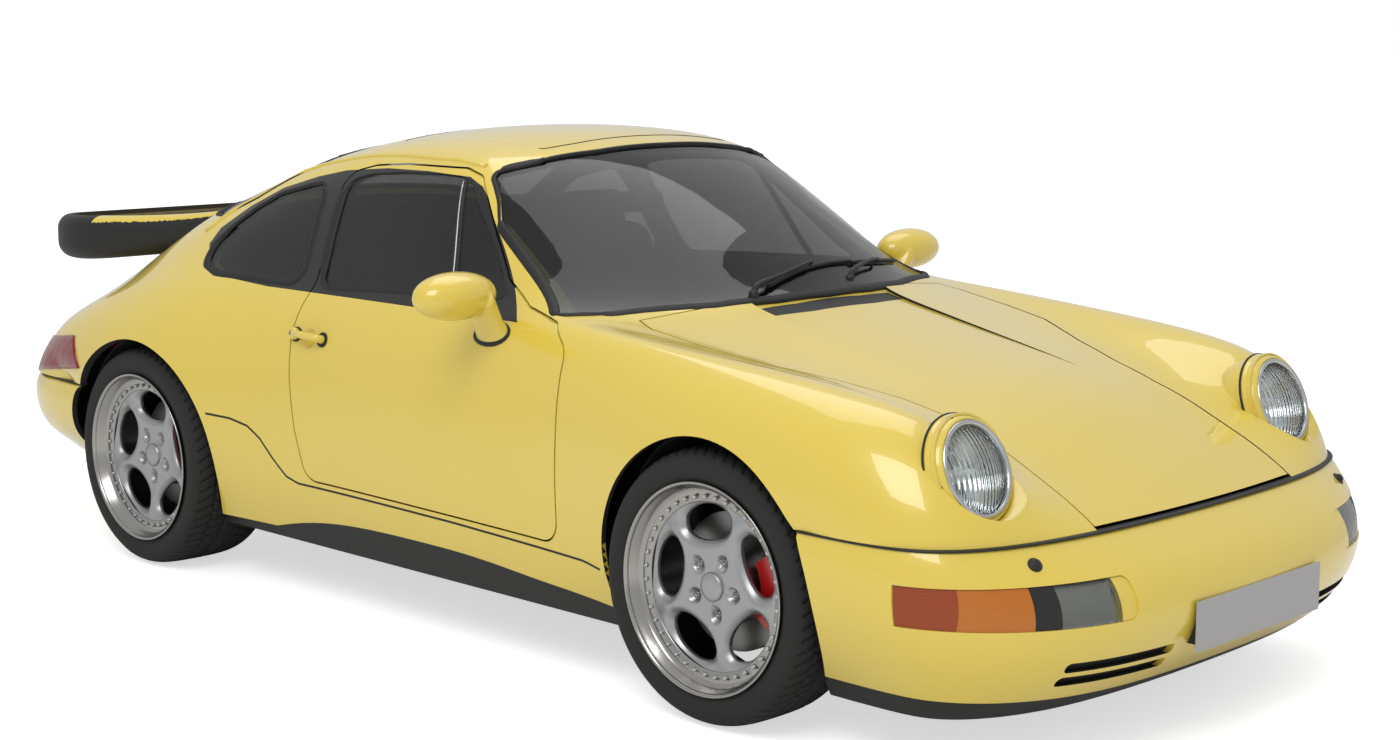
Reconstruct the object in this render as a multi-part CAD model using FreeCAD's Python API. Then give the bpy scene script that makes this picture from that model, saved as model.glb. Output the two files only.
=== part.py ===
"""Rear-engined 2+2 coupe car with wide rear arches and a tea-tray tail.

Millimetres. +X is forward, +Y is the car's left side, +Z is up. The origin lies on
the ground, midway between the bumpers and on the middle plane of the car.
"""
import FreeCAD, Part
import math
import os

Vector = FreeCAD.Vector

# Overall sizes
LENGTH = 4250.0
WIDTH = 1775.0
HEIGHT = 1290.0
WHEELBASE = 2272.0
FRONT_OVERHANG = 922.0

# Wheels and tyres
FRONT_TRACK = 1450.0
REAR_TRACK = 1470.0
FRONT_TYRE_RADIUS = 318.6
REAR_TYRE_RADIUS = 321.4
FRONT_TYRE_WIDTH = 225.0
REAR_TYRE_WIDTH = 265.0
RIM_LIP_RADIUS = 245.0
FRONT_RIM_WIDTH = 228.0
REAR_RIM_WIDTH = 276.0
BEAD_RADIUS = 229.0
RIM_WALL = 8.0
STEER_ANGLE = 35.0

# Clearances
SHUT_GAP = 5.0
FIT_GAP = 0.3
PANEL_GAP = 0.8
OVERRUN = 60.0
ARCH_CLEARANCE = 28.5

# Sheet and wall thicknesses
DOOR_WALL = 92.0
PILLAR_WALL = 34.0
FENDER_WALL = 14.0
QUARTER_WALL = 40.0
LID_WALL = 20.0
BUMPER_WALL = 16.0
GLASS_SETBACK = 5.0
GLASS_WALL = 5.0
PLATE_WALL = 6.0

FRONT_AXLE_X = LENGTH / 2 - FRONT_OVERHANG
REAR_AXLE_X = FRONT_AXLE_X - WHEELBASE
SPINE_Z = 300.0

# Control points of the body's skin, one row for each rib from nose to tail. Each point is
# (share of LENGTH, share of WIDTH, share of HEIGHT), from the sill over the shoulder to
# the middle plane of the car.
SKIN_SHARES = [
    # nose edge
    [(0.3529, 0.475, 0.391), (0.3718, 0.480, 0.391), (0.3953, 0.479, 0.391),
     (0.4169, 0.467, 0.391), (0.4348, 0.440, 0.391), (0.4466, 0.396, 0.391),
     (0.4548, 0.338, 0.391), (0.4600, 0.270, 0.391), (0.4631, 0.203, 0.391),
     (0.4652, 0.135, 0.391), (0.4664, 0.068, 0.391), (0.4666, 0, 0.391)],
    # lamp foot
    [(0.3482, 0.477, 0.388), (0.3682, 0.481, 0.403), (0.3918, 0.479, 0.419),
     (0.4136, 0.466, 0.434), (0.4301, 0.438, 0.450), (0.4400, 0.394, 0.461),
     (0.4435, 0.338, 0.457), (0.4454, 0.276, 0.434), (0.4471, 0.208, 0.425),
     (0.4482, 0.138, 0.426), (0.4485, 0.068, 0.428), (0.4487, 0, 0.428)],
    # lamp front
    [(0.3447, 0.477, 0.384), (0.3624, 0.481, 0.411), (0.3812, 0.480, 0.442),
     (0.3981, 0.469, 0.474), (0.4099, 0.442, 0.510), (0.4160, 0.399, 0.549),
     (0.4176, 0.341, 0.549), (0.4176, 0.282, 0.488), (0.4188, 0.214, 0.465),
     (0.4200, 0.141, 0.470), (0.4202, 0.070, 0.474), (0.4205, 0, 0.474)],
    # lamp top
    [(0.3388, 0.477, 0.372), (0.3501, 0.482, 0.407), (0.3628, 0.483, 0.443),
     (0.3741, 0.479, 0.490), (0.3824, 0.459, 0.543), (0.3871, 0.412, 0.594),
     (0.3882, 0.349, 0.594), (0.3882, 0.285, 0.535), (0.3882, 0.217, 0.518),
     (0.3882, 0.144, 0.526), (0.3882, 0.070, 0.531), (0.3882, 0, 0.533)],
    # arch front
    [(0.3224, 0.472, 0.310), (0.3275, 0.480, 0.353), (0.3329, 0.486, 0.415),
     (0.3372, 0.483, 0.487), (0.3395, 0.465, 0.564), (0.3412, 0.414, 0.619),
     (0.3412, 0.355, 0.614), (0.3412, 0.299, 0.572), (0.3412, 0.225, 0.564),
     (0.3412, 0.149, 0.574), (0.3412, 0.073, 0.579), (0.3412, 0, 0.581)],
    # front axle
    [(0.2831, 0.445, 0.147), (0.2831, 0.472, 0.256), (0.2831, 0.483, 0.364),
     (0.2831, 0.483, 0.473), (0.2831, 0.468, 0.578), (0.2831, 0.416, 0.637),
     (0.2831, 0.361, 0.632), (0.2831, 0.315, 0.603), (0.2831, 0.237, 0.603),
     (0.2831, 0.158, 0.612), (0.2831, 0.079, 0.618), (0.2831, 0, 0.619)],
    # arch rear
    [(0.2247, 0.434, 0.147), (0.2247, 0.459, 0.233), (0.2247, 0.472, 0.349),
     (0.2247, 0.472, 0.465), (0.2240, 0.457, 0.578), (0.2231, 0.423, 0.650),
     (0.2224, 0.383, 0.650), (0.2216, 0.344, 0.634), (0.2212, 0.254, 0.645),
     (0.2212, 0.169, 0.655), (0.2212, 0.085, 0.660), (0.2212, 0, 0.662)],
    # door front
    [(0.1753, 0.431, 0.147), (0.1753, 0.450, 0.225), (0.1753, 0.456, 0.333),
     (0.1753, 0.456, 0.457), (0.1753, 0.447, 0.574), (0.1753, 0.424, 0.653),
     (0.1760, 0.397, 0.664), (0.1776, 0.366, 0.660), (0.1835, 0.270, 0.667),
     (0.1918, 0.180, 0.676), (0.1972, 0.090, 0.682), (0.1988, 0, 0.684)],
    # cowl
    [(0.1412, 0.431, 0.147), (0.1412, 0.447, 0.225), (0.1412, 0.452, 0.333),
     (0.1412, 0.451, 0.457), (0.1412, 0.442, 0.574), (0.1412, 0.423, 0.650),
     (0.1412, 0.407, 0.668), (0.1424, 0.394, 0.673), (0.1506, 0.338, 0.690),
     (0.1624, 0.248, 0.709), (0.1753, 0.124, 0.729), (0.1800, 0, 0.735)],
    # windscreen low
    [(0.1012, 0.429, 0.147), (0.1012, 0.445, 0.225), (0.1012, 0.451, 0.333),
     (0.1012, 0.449, 0.457), (0.1012, 0.439, 0.574), (0.1012, 0.420, 0.645),
     (0.1012, 0.403, 0.670), (0.1024, 0.384, 0.702), (0.1064, 0.359, 0.738),
     (0.1184, 0.307, 0.770), (0.1393, 0.163, 0.812), (0.1459, 0, 0.822)],
    # windscreen middle
    [(0.0635, 0.428, 0.147), (0.0635, 0.444, 0.225), (0.0635, 0.450, 0.333),
     (0.0635, 0.448, 0.457), (0.0635, 0.438, 0.574), (0.0635, 0.417, 0.645),
     (0.0635, 0.399, 0.673), (0.0647, 0.365, 0.735), (0.0673, 0.334, 0.823),
     (0.0758, 0.293, 0.862), (0.0941, 0.161, 0.907), (0.1000, 0, 0.918)],
    # windscreen top
    [(0.0259, 0.428, 0.147), (0.0259, 0.444, 0.225), (0.0259, 0.450, 0.333),
     (0.0259, 0.448, 0.457), (0.0259, 0.438, 0.574), (0.0259, 0.416, 0.645),
     (0.0259, 0.397, 0.674), (0.0259, 0.361, 0.783), (0.0271, 0.317, 0.915),
     (0.0329, 0.282, 0.947), (0.0482, 0.158, 0.981), (0.0541, 0, 0.992)],
    # roof crown
    [(-0.0235, 0.428, 0.147), (-0.0235, 0.444, 0.225), (-0.0235, 0.449, 0.333),
     (-0.0235, 0.448, 0.457), (-0.0235, 0.438, 0.574), (-0.0235, 0.415, 0.645),
     (-0.0235, 0.395, 0.676), (-0.0235, 0.356, 0.798), (-0.0235, 0.310, 0.934),
     (-0.0235, 0.270, 0.975), (-0.0235, 0.146, 1.000), (-0.0235, 0, 1.007)],
    # door rear
    [(-0.0941, 0.430, 0.147), (-0.0941, 0.447, 0.225), (-0.0941, 0.452, 0.333),
     (-0.0941, 0.450, 0.457), (-0.0941, 0.440, 0.574), (-0.0941, 0.415, 0.647),
     (-0.0941, 0.394, 0.678), (-0.0941, 0.355, 0.795), (-0.0941, 0.309, 0.924),
     (-0.0941, 0.268, 0.965), (-0.0941, 0.144, 0.990), (-0.0941, 0, 0.998)],
    # rear window top
    [(-0.1647, 0.445, 0.147), (-0.1647, 0.466, 0.233), (-0.1647, 0.474, 0.341),
     (-0.1647, 0.472, 0.457), (-0.1647, 0.457, 0.570), (-0.1647, 0.424, 0.650),
     (-0.1647, 0.395, 0.682), (-0.1647, 0.361, 0.775), (-0.1647, 0.315, 0.876),
     (-0.1647, 0.270, 0.919), (-0.1647, 0.144, 0.946), (-0.1647, 0, 0.955)],
    # rear window middle
    [(-0.2235, 0.456, 0.147), (-0.2235, 0.485, 0.233), (-0.2235, 0.502, 0.349),
     (-0.2235, 0.505, 0.465), (-0.2235, 0.486, 0.570), (-0.2235, 0.442, 0.647),
     (-0.2235, 0.403, 0.686), (-0.2235, 0.369, 0.744), (-0.2235, 0.327, 0.812),
     (-0.2235, 0.270, 0.857), (-0.2235, 0.141, 0.884), (-0.2235, 0, 0.893)],
    # rear window foot
    [(-0.2776, 0.457, 0.147), (-0.2776, 0.486, 0.233), (-0.2776, 0.507, 0.349),
     (-0.2776, 0.510, 0.465), (-0.2776, 0.488, 0.558), (-0.2776, 0.446, 0.624),
     (-0.2776, 0.406, 0.667), (-0.2776, 0.375, 0.705), (-0.2776, 0.332, 0.756),
     (-0.2776, 0.270, 0.795), (-0.2776, 0.141, 0.820), (-0.2776, 0, 0.829)],
    # arch back
    [(-0.3176, 0.480, 0.310), (-0.3212, 0.488, 0.353), (-0.3259, 0.497, 0.411),
     (-0.3294, 0.496, 0.479), (-0.3306, 0.474, 0.543), (-0.3318, 0.443, 0.581),
     (-0.3318, 0.403, 0.601), (-0.3322, 0.369, 0.626), (-0.3329, 0.331, 0.660),
     (-0.3336, 0.265, 0.698), (-0.3341, 0.135, 0.727), (-0.3341, 0, 0.736)],
    # deck
    [(-0.3294, 0.479, 0.372), (-0.3388, 0.486, 0.405), (-0.3529, 0.487, 0.443),
     (-0.3659, 0.473, 0.488), (-0.3741, 0.449, 0.518), (-0.3793, 0.417, 0.536),
     (-0.3824, 0.379, 0.553), (-0.3854, 0.339, 0.575), (-0.3882, 0.285, 0.605),
     (-0.3901, 0.217, 0.629), (-0.3911, 0.107, 0.647), (-0.3911, 0, 0.651)],
    # tail top
    [(-0.3318, 0.477, 0.386), (-0.3494, 0.483, 0.412), (-0.3694, 0.479, 0.440),
     (-0.3847, 0.459, 0.468), (-0.3953, 0.431, 0.488), (-0.4038, 0.397, 0.502),
     (-0.4118, 0.361, 0.513), (-0.4202, 0.315, 0.526), (-0.4282, 0.254, 0.538),
     (-0.4348, 0.186, 0.547), (-0.4391, 0.093, 0.553), (-0.4400, 0, 0.554)],
    # lamp band
    [(-0.3329, 0.478, 0.388), (-0.3565, 0.483, 0.408), (-0.3800, 0.478, 0.426),
     (-0.3976, 0.457, 0.442), (-0.4089, 0.425, 0.451), (-0.4188, 0.389, 0.458),
     (-0.4282, 0.349, 0.464), (-0.4381, 0.301, 0.468), (-0.4466, 0.248, 0.472),
     (-0.4527, 0.180, 0.474), (-0.4565, 0.090, 0.476), (-0.4574, 0, 0.477)],
    # tail edge
    [(-0.3341, 0.478, 0.391), (-0.3588, 0.483, 0.391), (-0.3871, 0.478, 0.391),
     (-0.4106, 0.455, 0.391), (-0.4264, 0.421, 0.391), (-0.4381, 0.380, 0.391),
     (-0.4466, 0.335, 0.391), (-0.4529, 0.285, 0.391), (-0.4576, 0.228, 0.391),
     (-0.4612, 0.163, 0.391), (-0.4635, 0.085, 0.391), (-0.4642, 0, 0.391)],
]


def side(shares):
    """Points of a side outline, from shares of LENGTH and HEIGHT."""
    return [Vector(x * LENGTH, 0, z * HEIGHT) for x, z in shares]


def plan(shares):
    """Points of a plan outline, from shares of LENGTH and WIDTH."""
    return [Vector(x * LENGTH, y * WIDTH, 0) for x, y in shares]


def front(shares):
    """Points of a front outline, from shares of WIDTH and HEIGHT."""
    return [Vector(0, y * WIDTH, z * HEIGHT) for y, z in shares]


def mirrored(points):
    """A half outline that ends on the middle plane, completed to both sides."""
    return points + [Vector(p.x, -p.y, p.z) for p in reversed(points) if abs(p.y) > 0]


def rounded_wire(points, radius):
    """Closed wire through the points, with an arc of the radius at each corner."""
    edges = []
    count = len(points)
    corners = []
    for i in range(count):
        before, here, after = points[i - 1], points[i], points[(i + 1) % count]
        u = (before - here).normalize()
        v = (after - here).normalize()
        half = math.acos(max(-1, min(1, u.dot(v)))) / 2
        reach = min(radius / math.tan(half), before.distanceToPoint(here) * 0.45,
                    after.distanceToPoint(here) * 0.45)
        bow = reach * math.tan(half)
        middle = here + (u + v).normalize() * (bow / math.sin(half) - bow)
        corners.append((here + u * reach, middle, here + v * reach, half))
    for i in range(count):
        start, middle, end, half = corners[i]
        if math.pi / 2 - half > math.radians(0.5):
            edges.append(Part.Arc(start, middle, end).toShape())
        else:
            edges.append(Part.LineSegment(start, end).toShape())
        following = corners[(i + 1) % count][0]
        if end.distanceToPoint(following) > FIT_GAP:
            edges.append(Part.LineSegment(end, following).toShape())
        else:
            corners[(i + 1) % count] = (end,) + corners[(i + 1) % count][1:]
    return Part.Wire(edges)


def grown(wire, amount):
    """The wire moved outwards by the amount, or inwards where it is negative."""
    return wire.makeOffset2D(amount) if amount else wire


def prism(wire, start, reach):
    """Solid swept from the wire, moved to start first, along reach."""
    face = Part.Face(wire.translated(start))
    return face.extrude(reach)


def mirror_y(shape):
    return shape.mirror(Vector(), Vector(0, 1, 0))


def both_sides(shape):
    return Part.Compound([shape, mirror_y(shape)])


def cylinder_y(radius, x, z, y0, y1):
    return Part.makeCylinder(radius, y1 - y0, Vector(x, y0, z), Vector(0, 1, 0))


def box(x0, x1, y0, y1, z0, z1):
    return Part.makeBox(x1 - x0, y1 - y0, z1 - z0, Vector(x0, y0, z0))


def solids(shape):
    return shape.Solids


def main_solid(shape):
    """The largest solid of a cut."""
    return max(shape.Solids, key=lambda s: s.Volume)


def on_side(shape, sign):
    return Part.Compound([s for s in shape.Solids if s.CenterOfMass.y * sign > 0])


def revolved_y(profile, centre):
    """Solid turned about the Y axis through centre, from (radius, y) points."""
    points = [centre + Vector(0, y, r) for r, y in profile]
    face = Part.Face(Part.makePolygon(points + points[:1]))
    return face.revolve(centre, Vector(0, 1, 0), 360)


def knots(count, degree=3):
    inner = count - degree
    values = [float(i) for i in range(inner + 1)]
    mults = [degree + 1] + [1] * (inner - 1) + [degree + 1]
    return values, mults


def surface(poles):
    u_knots, u_mults = knots(len(poles))
    v_knots, v_mults = knots(len(poles[0]))
    skin = Part.BSplineSurface()
    skin.buildFromPolesMultsKnots(poles, u_mults, v_mults, u_knots, v_knots, False, False, 3, 3)
    return skin


def full_rows(rows):
    """Rows of half a body, completed over the middle plane."""
    return [row + [Vector(p.x, -p.y, p.z) for p in reversed(row[:-1])] for row in rows]


def spine_direction(pole):
    """Outward direction at a pole, away from a line low along the middle of the car."""
    near = Vector(max(-0.33 * LENGTH, min(0.3 * LENGTH, pole.x)), 0, SPINE_Z)
    return (pole - near).normalize()


def moved(rows, depth):
    """Rows moved inwards. depth(i, j) gives the distance at rib i and column j."""
    return [[p - spine_direction(p) * depth(i, j) for j, p in enumerate(row)]
            for i, row in enumerate(rows)]


def skin_solid(outer_rows, inner_rows):
    """Closed solid between two skins, with ruled walls round their rims."""
    outer = surface(full_rows(outer_rows))
    inner = surface(full_rows(inner_rows))
    u0, u1, v0, v1 = outer.bounds()
    faces = [outer.toShape(), inner.toShape()]
    for value in (u0, u1):
        faces.append(Part.makeRuledSurface(outer.uIso(value).toShape(),
                                           inner.uIso(value).toShape()))
    for value in (v0, v1):
        faces.append(Part.makeRuledSurface(outer.vIso(value).toShape(),
                                           inner.vIso(value).toShape()))
    shell = Part.Shell(faces)
    shell.sewShape()
    solid = Part.Solid(shell)
    if solid.Volume < 0:
        solid.reverse()
    return solid


BODY_ROWS = [[Vector(x * LENGTH, y * WIDTH, z * HEIGHT) for x, y, z in row]
             for row in SKIN_SHARES]
SIDE_COLUMNS = 5
FIRST_DOOR_RIB, LAST_DOOR_RIB, LAST_QUARTER_RIB = 6, 13, 16


def body_depth(i, j):
    if FIRST_DOOR_RIB <= i <= LAST_DOOR_RIB:
        return DOOR_WALL if j < SIDE_COLUMNS else PILLAR_WALL
    if LAST_DOOR_RIB < i <= LAST_QUARTER_RIB:
        return QUARTER_WALL if j < SIDE_COLUMNS else PILLAR_WALL
    return FENDER_WALL if i < FIRST_DOOR_RIB and j < SIDE_COLUMNS + 2 else LID_WALL


def glass_depth(extra):
    return lambda i, j: GLASS_SETBACK + extra


INNER_ROWS = moved(BODY_ROWS, body_depth)
sheet = skin_solid(BODY_ROWS, moved(BODY_ROWS, lambda i, j: FENDER_WALL))
skin = skin_solid(BODY_ROWS, INNER_ROWS)
glazing = skin_solid(moved(BODY_ROWS, glass_depth(0)), moved(BODY_ROWS, glass_depth(GLASS_WALL)))

# Side outlines
DOOR_SHARES = [
    (0.1628, 0.256), (0.1628, 0.465), (0.1614, 0.620), (0.1419, 0.664), (0.1099, 0.685),
    (0.0805, 0.728), (0.0565, 0.798), (0.0341, 0.871), (0.0188, 0.916), (0.0024, 0.930),
    (-0.0536, 0.931), (-0.0866, 0.924), (-0.1146, 0.903), (-0.1045, 0.775), (-0.0960, 0.676),
    (-0.0969, 0.620), (-0.0972, 0.574), (-0.0941, 0.481), (-0.0882, 0.372), (-0.0788, 0.267),
]
DOOR_WINDOW_SHARES = [
    (0.0922, 0.691), (0.0776, 0.736), (0.0600, 0.791), (0.0388, 0.853), (0.0247, 0.898),
    (0.0118, 0.913), (-0.0054, 0.915), (-0.0447, 0.913), (-0.0776, 0.905), (-0.1000, 0.888),
    (-0.0941, 0.775), (-0.0871, 0.668), (-0.0235, 0.678),
]
QUARTER_WINDOW_SHARES = [
    (-0.1214, 0.881), (-0.1412, 0.871), (-0.1729, 0.848), (-0.1953, 0.811), (-0.2113, 0.772),
    (-0.2216, 0.729), (-0.2188, 0.688), (-0.1976, 0.671), (-0.1071, 0.668),
]
DOOR_CORNER, WINDOW_CORNER, SEAM_CORNER = 60.0, 45.0, 40.0

# Glass outlines on the sloping plane of each screen, as (share of WIDTH, share of the drop
# from the middle of its top edge to the middle of its bottom edge)
WINDSCREEN_ENDS_SHARES = [
    (0.0600, 0.978), (0.2000, 0.704),
]
WINDSCREEN_SHARES = [
    (0, 0), (0.134, -0.012), (0.198, -0.042), (0.248, -0.064), (0.292, -0.104), (0.315, 0.049),
    (0.349, 0.227), (0.377, 0.412), (0.401, 0.621), (0.388, 0.730), (0.349, 0.809), (0.304, 0.844),
    (0.251, 0.893), (0.202, 0.939), (0.101, 0.986), (0, 1.000),
]
REAR_WINDOW_ENDS_SHARES = [
    (-0.1506, 0.961), (-0.2729, 0.836),
]
REAR_WINDOW_SHARES = [
    (0, 0), (0.169, 0.004), (0.248, 0.018), (0.279, 0.128), (0.315, 0.477), (0.330, 0.771),
    (0.315, 0.917), (0.237, 0.972), (0.113, 0.998), (0, 1.006),
]

# Outlines seen from above
FENDER_SEAM_SHARES = [
    (0.1746, 0.326), (0.1899, 0.338), (0.2299, 0.331), (0.2652, 0.315), (0.3047, 0.269),
    (0.3393, 0.239), (0.3711, 0.226), (0.4089, 0.226), (0.4313, 0.228), (0.4941, 0.228),
]
LID_REAR_SHARES = [
    (0.1746, 0.326), (0.1814, 0.242), (0.1896, 0.146), (0.1948, 0.068), (0.1962, 0),
]
FENDER_BACK_SHARES = [
    (0.1640, 0.563), (0.1640, 0.394), (0.1746, 0.326),
]
ENGINE_LID_SHARES = [
    (-0.2598, 0), (-0.2626, 0.135), (-0.2722, 0.225), (-0.2861, 0.265), (-0.3381, 0.282),
    (-0.3946, 0.270), (-0.4181, 0.248), (-0.4271, 0.214), (-0.4287, 0.113), (-0.4294, 0),
]
SUNROOF_SHARES = [
    (0.0388, 0), (0.0376, 0.141), (0.0329, 0.203), (-0.0306, 0.225), (-0.0941, 0.226),
    (-0.0988, 0.169), (-0.0998, 0),
]

LID_SLANT, LID_DROP_SHARE = 0.5, 0.3
LID_PLANE = 0.63 * HEIGHT
DOOR_REACH = 0.62 * WIDTH
DOOR_SLANT = 0.15
DOOR_PLANE = 0.451 * WIDTH
SCREEN_REACH = 0.1 * WIDTH


def side_tool(wire, sign, slant=0.0):
    """Slanted prism through one side of the car, drawn on the plane of the door's skin."""
    reach = Vector(-slant * DOOR_REACH, sign * DOOR_REACH, 0)
    back = DOOR_PLANE / DOOR_REACH
    return prism(wire, Vector(reach.x * -back, 0, 0), reach)


def plan_tool(wire, slant, height):
    """Prism upwards from the plan outline, leaning back by the slant above the height."""
    rise = Vector(-slant * HEIGHT, 0, HEIGHT)
    start = Vector(0, 0, height) - rise * LID_DROP_SHARE
    return prism(wire, start, rise)


def screen_wire(ends_shares, shares, radius):
    """Outline of a screen on the plane through the middles of its top and bottom edges."""
    top, bottom = side(ends_shares)
    points = [top + (bottom - top) * down + Vector(0, across * WIDTH, 0)
              for across, down in shares]
    return rounded_wire(mirrored(points), radius)


def screen_tool(wire, ends_shares):
    """Prism through the wire, square to the plane of the screen."""
    top, bottom = side(ends_shares)
    normal = (bottom - top).cross(Vector(0, 1, 0)).normalize()
    return prism(wire, normal * -SCREEN_REACH, normal * 2 * SCREEN_REACH)


door_wire = rounded_wire(side(DOOR_SHARES), DOOR_CORNER)
door_window_wire = rounded_wire(side(DOOR_WINDOW_SHARES), WINDOW_CORNER)
quarter_wire = rounded_wire(side(QUARTER_WINDOW_SHARES), WINDOW_CORNER)
windscreen_wire = screen_wire(WINDSCREEN_ENDS_SHARES, WINDSCREEN_SHARES, SEAM_CORNER)
rear_window_wire = screen_wire(REAR_WINDOW_ENDS_SHARES, REAR_WINDOW_SHARES, SEAM_CORNER)
engine_lid_wire = rounded_wire(mirrored(plan(ENGINE_LID_SHARES)), DOOR_CORNER)
sunroof_wire = rounded_wire(mirrored(plan(SUNROOF_SHARES)), WINDOW_CORNER)
nose_points = plan(FENDER_BACK_SHARES)[:2] + plan(LID_REAR_SHARES)
nose_wire = Part.makePolygon(mirrored([Vector(LENGTH, WIDTH, 0)] + nose_points)
                             + [Vector(LENGTH, WIDTH, 0)])
fender_points = plan(FENDER_BACK_SHARES) + plan(FENDER_SEAM_SHARES)[1:]
fender_wire = Part.makePolygon(fender_points + [Vector(LENGTH / 2, WIDTH, 0), fender_points[0]])
front_lid_points = plan(FENDER_SEAM_SHARES)[::-1] + plan(LID_REAR_SHARES)[1:]
front_lid_wire = Part.makePolygon(mirrored(front_lid_points) + front_lid_points[:1])

parts = {}

# Body shell, doors, fenders and lids from one skin
ARCH_RADIUS = FRONT_TYRE_RADIUS + ARCH_CLEARANCE
front_arch = cylinder_y(ARCH_RADIUS, FRONT_AXLE_X, FRONT_TYRE_RADIUS, -WIDTH, WIDTH)
rear_arch = cylinder_y(ARCH_RADIUS, REAR_AXLE_X, REAR_TYRE_RADIUS, -WIDTH, WIDTH)
# The skin ends above the bumpers. It is trimmed there first, so that the arches cut cleanly.
BODY_EDGE_SHARE, TRIM_REACH = 0.3915, 200.0
trims = [box(FRONT_AXLE_X + TRIM_REACH, LENGTH, -WIDTH, WIDTH, 0, BODY_EDGE_SHARE * HEIGHT),
         box(-LENGTH, REAR_AXLE_X - TRIM_REACH, -WIDTH, WIDTH, 0, BODY_EDGE_SHARE * HEIGHT)]
skin = main_solid(skin.cut(trims))
sheet = main_solid(sheet.cut(trims))
whole = skin.cut([front_arch, rear_arch])
sheet_cut = sheet.cut(front_arch)
nose_tool = prism(nose_wire, Vector(), Vector(0, 0, HEIGHT))
rear_body = whole.cut(nose_tool)
windscreen_tool = screen_tool(windscreen_wire, WINDSCREEN_ENDS_SHARES)
rear_window_tool = screen_tool(rear_window_wire, REAR_WINDOW_ENDS_SHARES)
engine_lid_tool = plan_tool(engine_lid_wire, LID_SLANT, LID_PLANE)
sunroof_tool = plan_tool(sunroof_wire, 0.0, LID_PLANE)
shell = rear_body
for sign in (-1, 1):
    shell = shell.cut(side_tool(quarter_wire, sign))
    shell = shell.cut(side_tool(door_wire, sign, DOOR_SLANT))
for tool in (windscreen_tool, rear_window_tool, engine_lid_tool, sunroof_tool):
    shell = shell.cut(tool)
parts["body_shell"] = shell

LAMP_RADIUS = 120.0
LAMP_GLASS_RADIUS = 97.0
LAMP_DEPTH = 90.0
LAMP_TILT = 20.6
LAMP_PLACE_SHARES = (0.4235, 0.3504, 0.4985)
lamp_centre = Vector(LAMP_PLACE_SHARES[0] * LENGTH, LAMP_PLACE_SHARES[1] * WIDTH,
                     LAMP_PLACE_SHARES[2] * HEIGHT)
lamp_axis = Vector(math.cos(math.radians(LAMP_TILT)), 0, math.sin(math.radians(LAMP_TILT)))


def lamp_cylinder(radius, back, ahead):
    """Cylinder about the lamp's axis, from back behind the rim plane to ahead of it."""
    return Part.makeCylinder(radius, back + ahead, lamp_centre - lamp_axis * back, lamp_axis)


FLAP_WIDTH, FLAP_HEIGHT, FLAP_CORNER = 140.0, 120.0, 25.0
FLAP_PLACE_SHARES = [
    (0.2129, 0.496),
]
flap_centre = side(FLAP_PLACE_SHARES)[0]


def rectangle_xz(centre, width, height, radius):
    corners = [centre + Vector(x * width / 2, 0, z * height / 2)
               for x, z in ((-1, -1), (1, -1), (1, 1), (-1, 1))]
    return rounded_wire(corners, radius)


flap_hole = prism(rectangle_xz(flap_centre, FLAP_WIDTH, FLAP_HEIGHT, FLAP_CORNER),
                  Vector(0, WIDTH / 3, 0), Vector(0, WIDTH, 0))
flap_plug = prism(rectangle_xz(flap_centre, FLAP_WIDTH - 2 * SHUT_GAP, FLAP_HEIGHT - 2 * SHUT_GAP,
                               FLAP_CORNER - SHUT_GAP), Vector(0, WIDTH / 3, 0), Vector(0, WIDTH, 0))
fender = sheet_cut.common(prism(fender_wire, Vector(), Vector(0, 0, HEIGHT)))
fender = fender.cut(lamp_cylinder(LAMP_RADIUS, LAMP_DEPTH, LAMP_DEPTH))
LAMP_TUBE_WALL, LAMP_TUBE_DEPTH = 5.0, 62.0
tube = lamp_cylinder(LAMP_RADIUS + LAMP_TUBE_WALL, LAMP_TUBE_DEPTH, 0)
tube = tube.cut(lamp_cylinder(LAMP_RADIUS, LAMP_DEPTH, LAMP_DEPTH))
fender = main_solid(main_solid(fender).fuse(tube))
parts["fuel_flap"] = fender.common(flap_plug)
parts["front_fenders"] = Part.Compound([fender.cut(flap_hole), mirror_y(fender)])

# Lids
lid_reach = Vector(0, 0, HEIGHT)
front_lid = sheet.common(prism(grown(front_lid_wire, -SHUT_GAP), Vector(), lid_reach))
NOSE_SEAL = 7.0
RECESS_DEPTHS = [-30.0, -30.0, -12.0, -4.0, 0.5, 4.0, 7.0, 9.0, 9.0]
RECESS_SHARES = [
    (0.1788, 0.148), (0.4000, 0.134),
]
VENT_SHARES = [
    (0.2014, 0), (0.2000, 0.068), (0.1967, 0.141), (0.2080, 0.145), (0.2118, 0.068), (0.2132, 0),
]
VENT_SETBACK, VENT_WALL = 7.0, 5.0


def recess_depth(i, j):
    return RECESS_DEPTHS[i] if i < len(RECESS_DEPTHS) else RECESS_DEPTHS[-1]


above = skin_solid(moved(BODY_ROWS, lambda i, j: -FENDER_WALL * 4), moved(BODY_ROWS, recess_depth))
recess_points = plan(RECESS_SHARES)
recess_points += [Vector(p.x, -p.y, 0) for p in reversed(recess_points)]
recess_room = prism(Part.makePolygon(recess_points + recess_points[:1]), Vector(), lid_reach)
vent_outline = rounded_wire([p for p in plan(VENT_SHARES) if p.y > 0]
                            + [Vector(p.x, -p.y, 0) for p in reversed(plan(VENT_SHARES)) if p.y > 0],
                            NOSE_SEAL)
nose_line_z = SKIN_SHARES[0][-1][2] * HEIGHT
front_lid = front_lid.cut(box(0, LENGTH, -WIDTH, WIDTH, 0, nose_line_z + NOSE_SEAL))
front_lid = front_lid.cut(screen_tool(grown(windscreen_wire, SHUT_GAP), WINDSCREEN_ENDS_SHARES))
front_lid = main_solid(front_lid.cut(above.common(recess_room)))
parts["front_lid"] = main_solid(front_lid.cut(prism(vent_outline, Vector(), lid_reach)))
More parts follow.
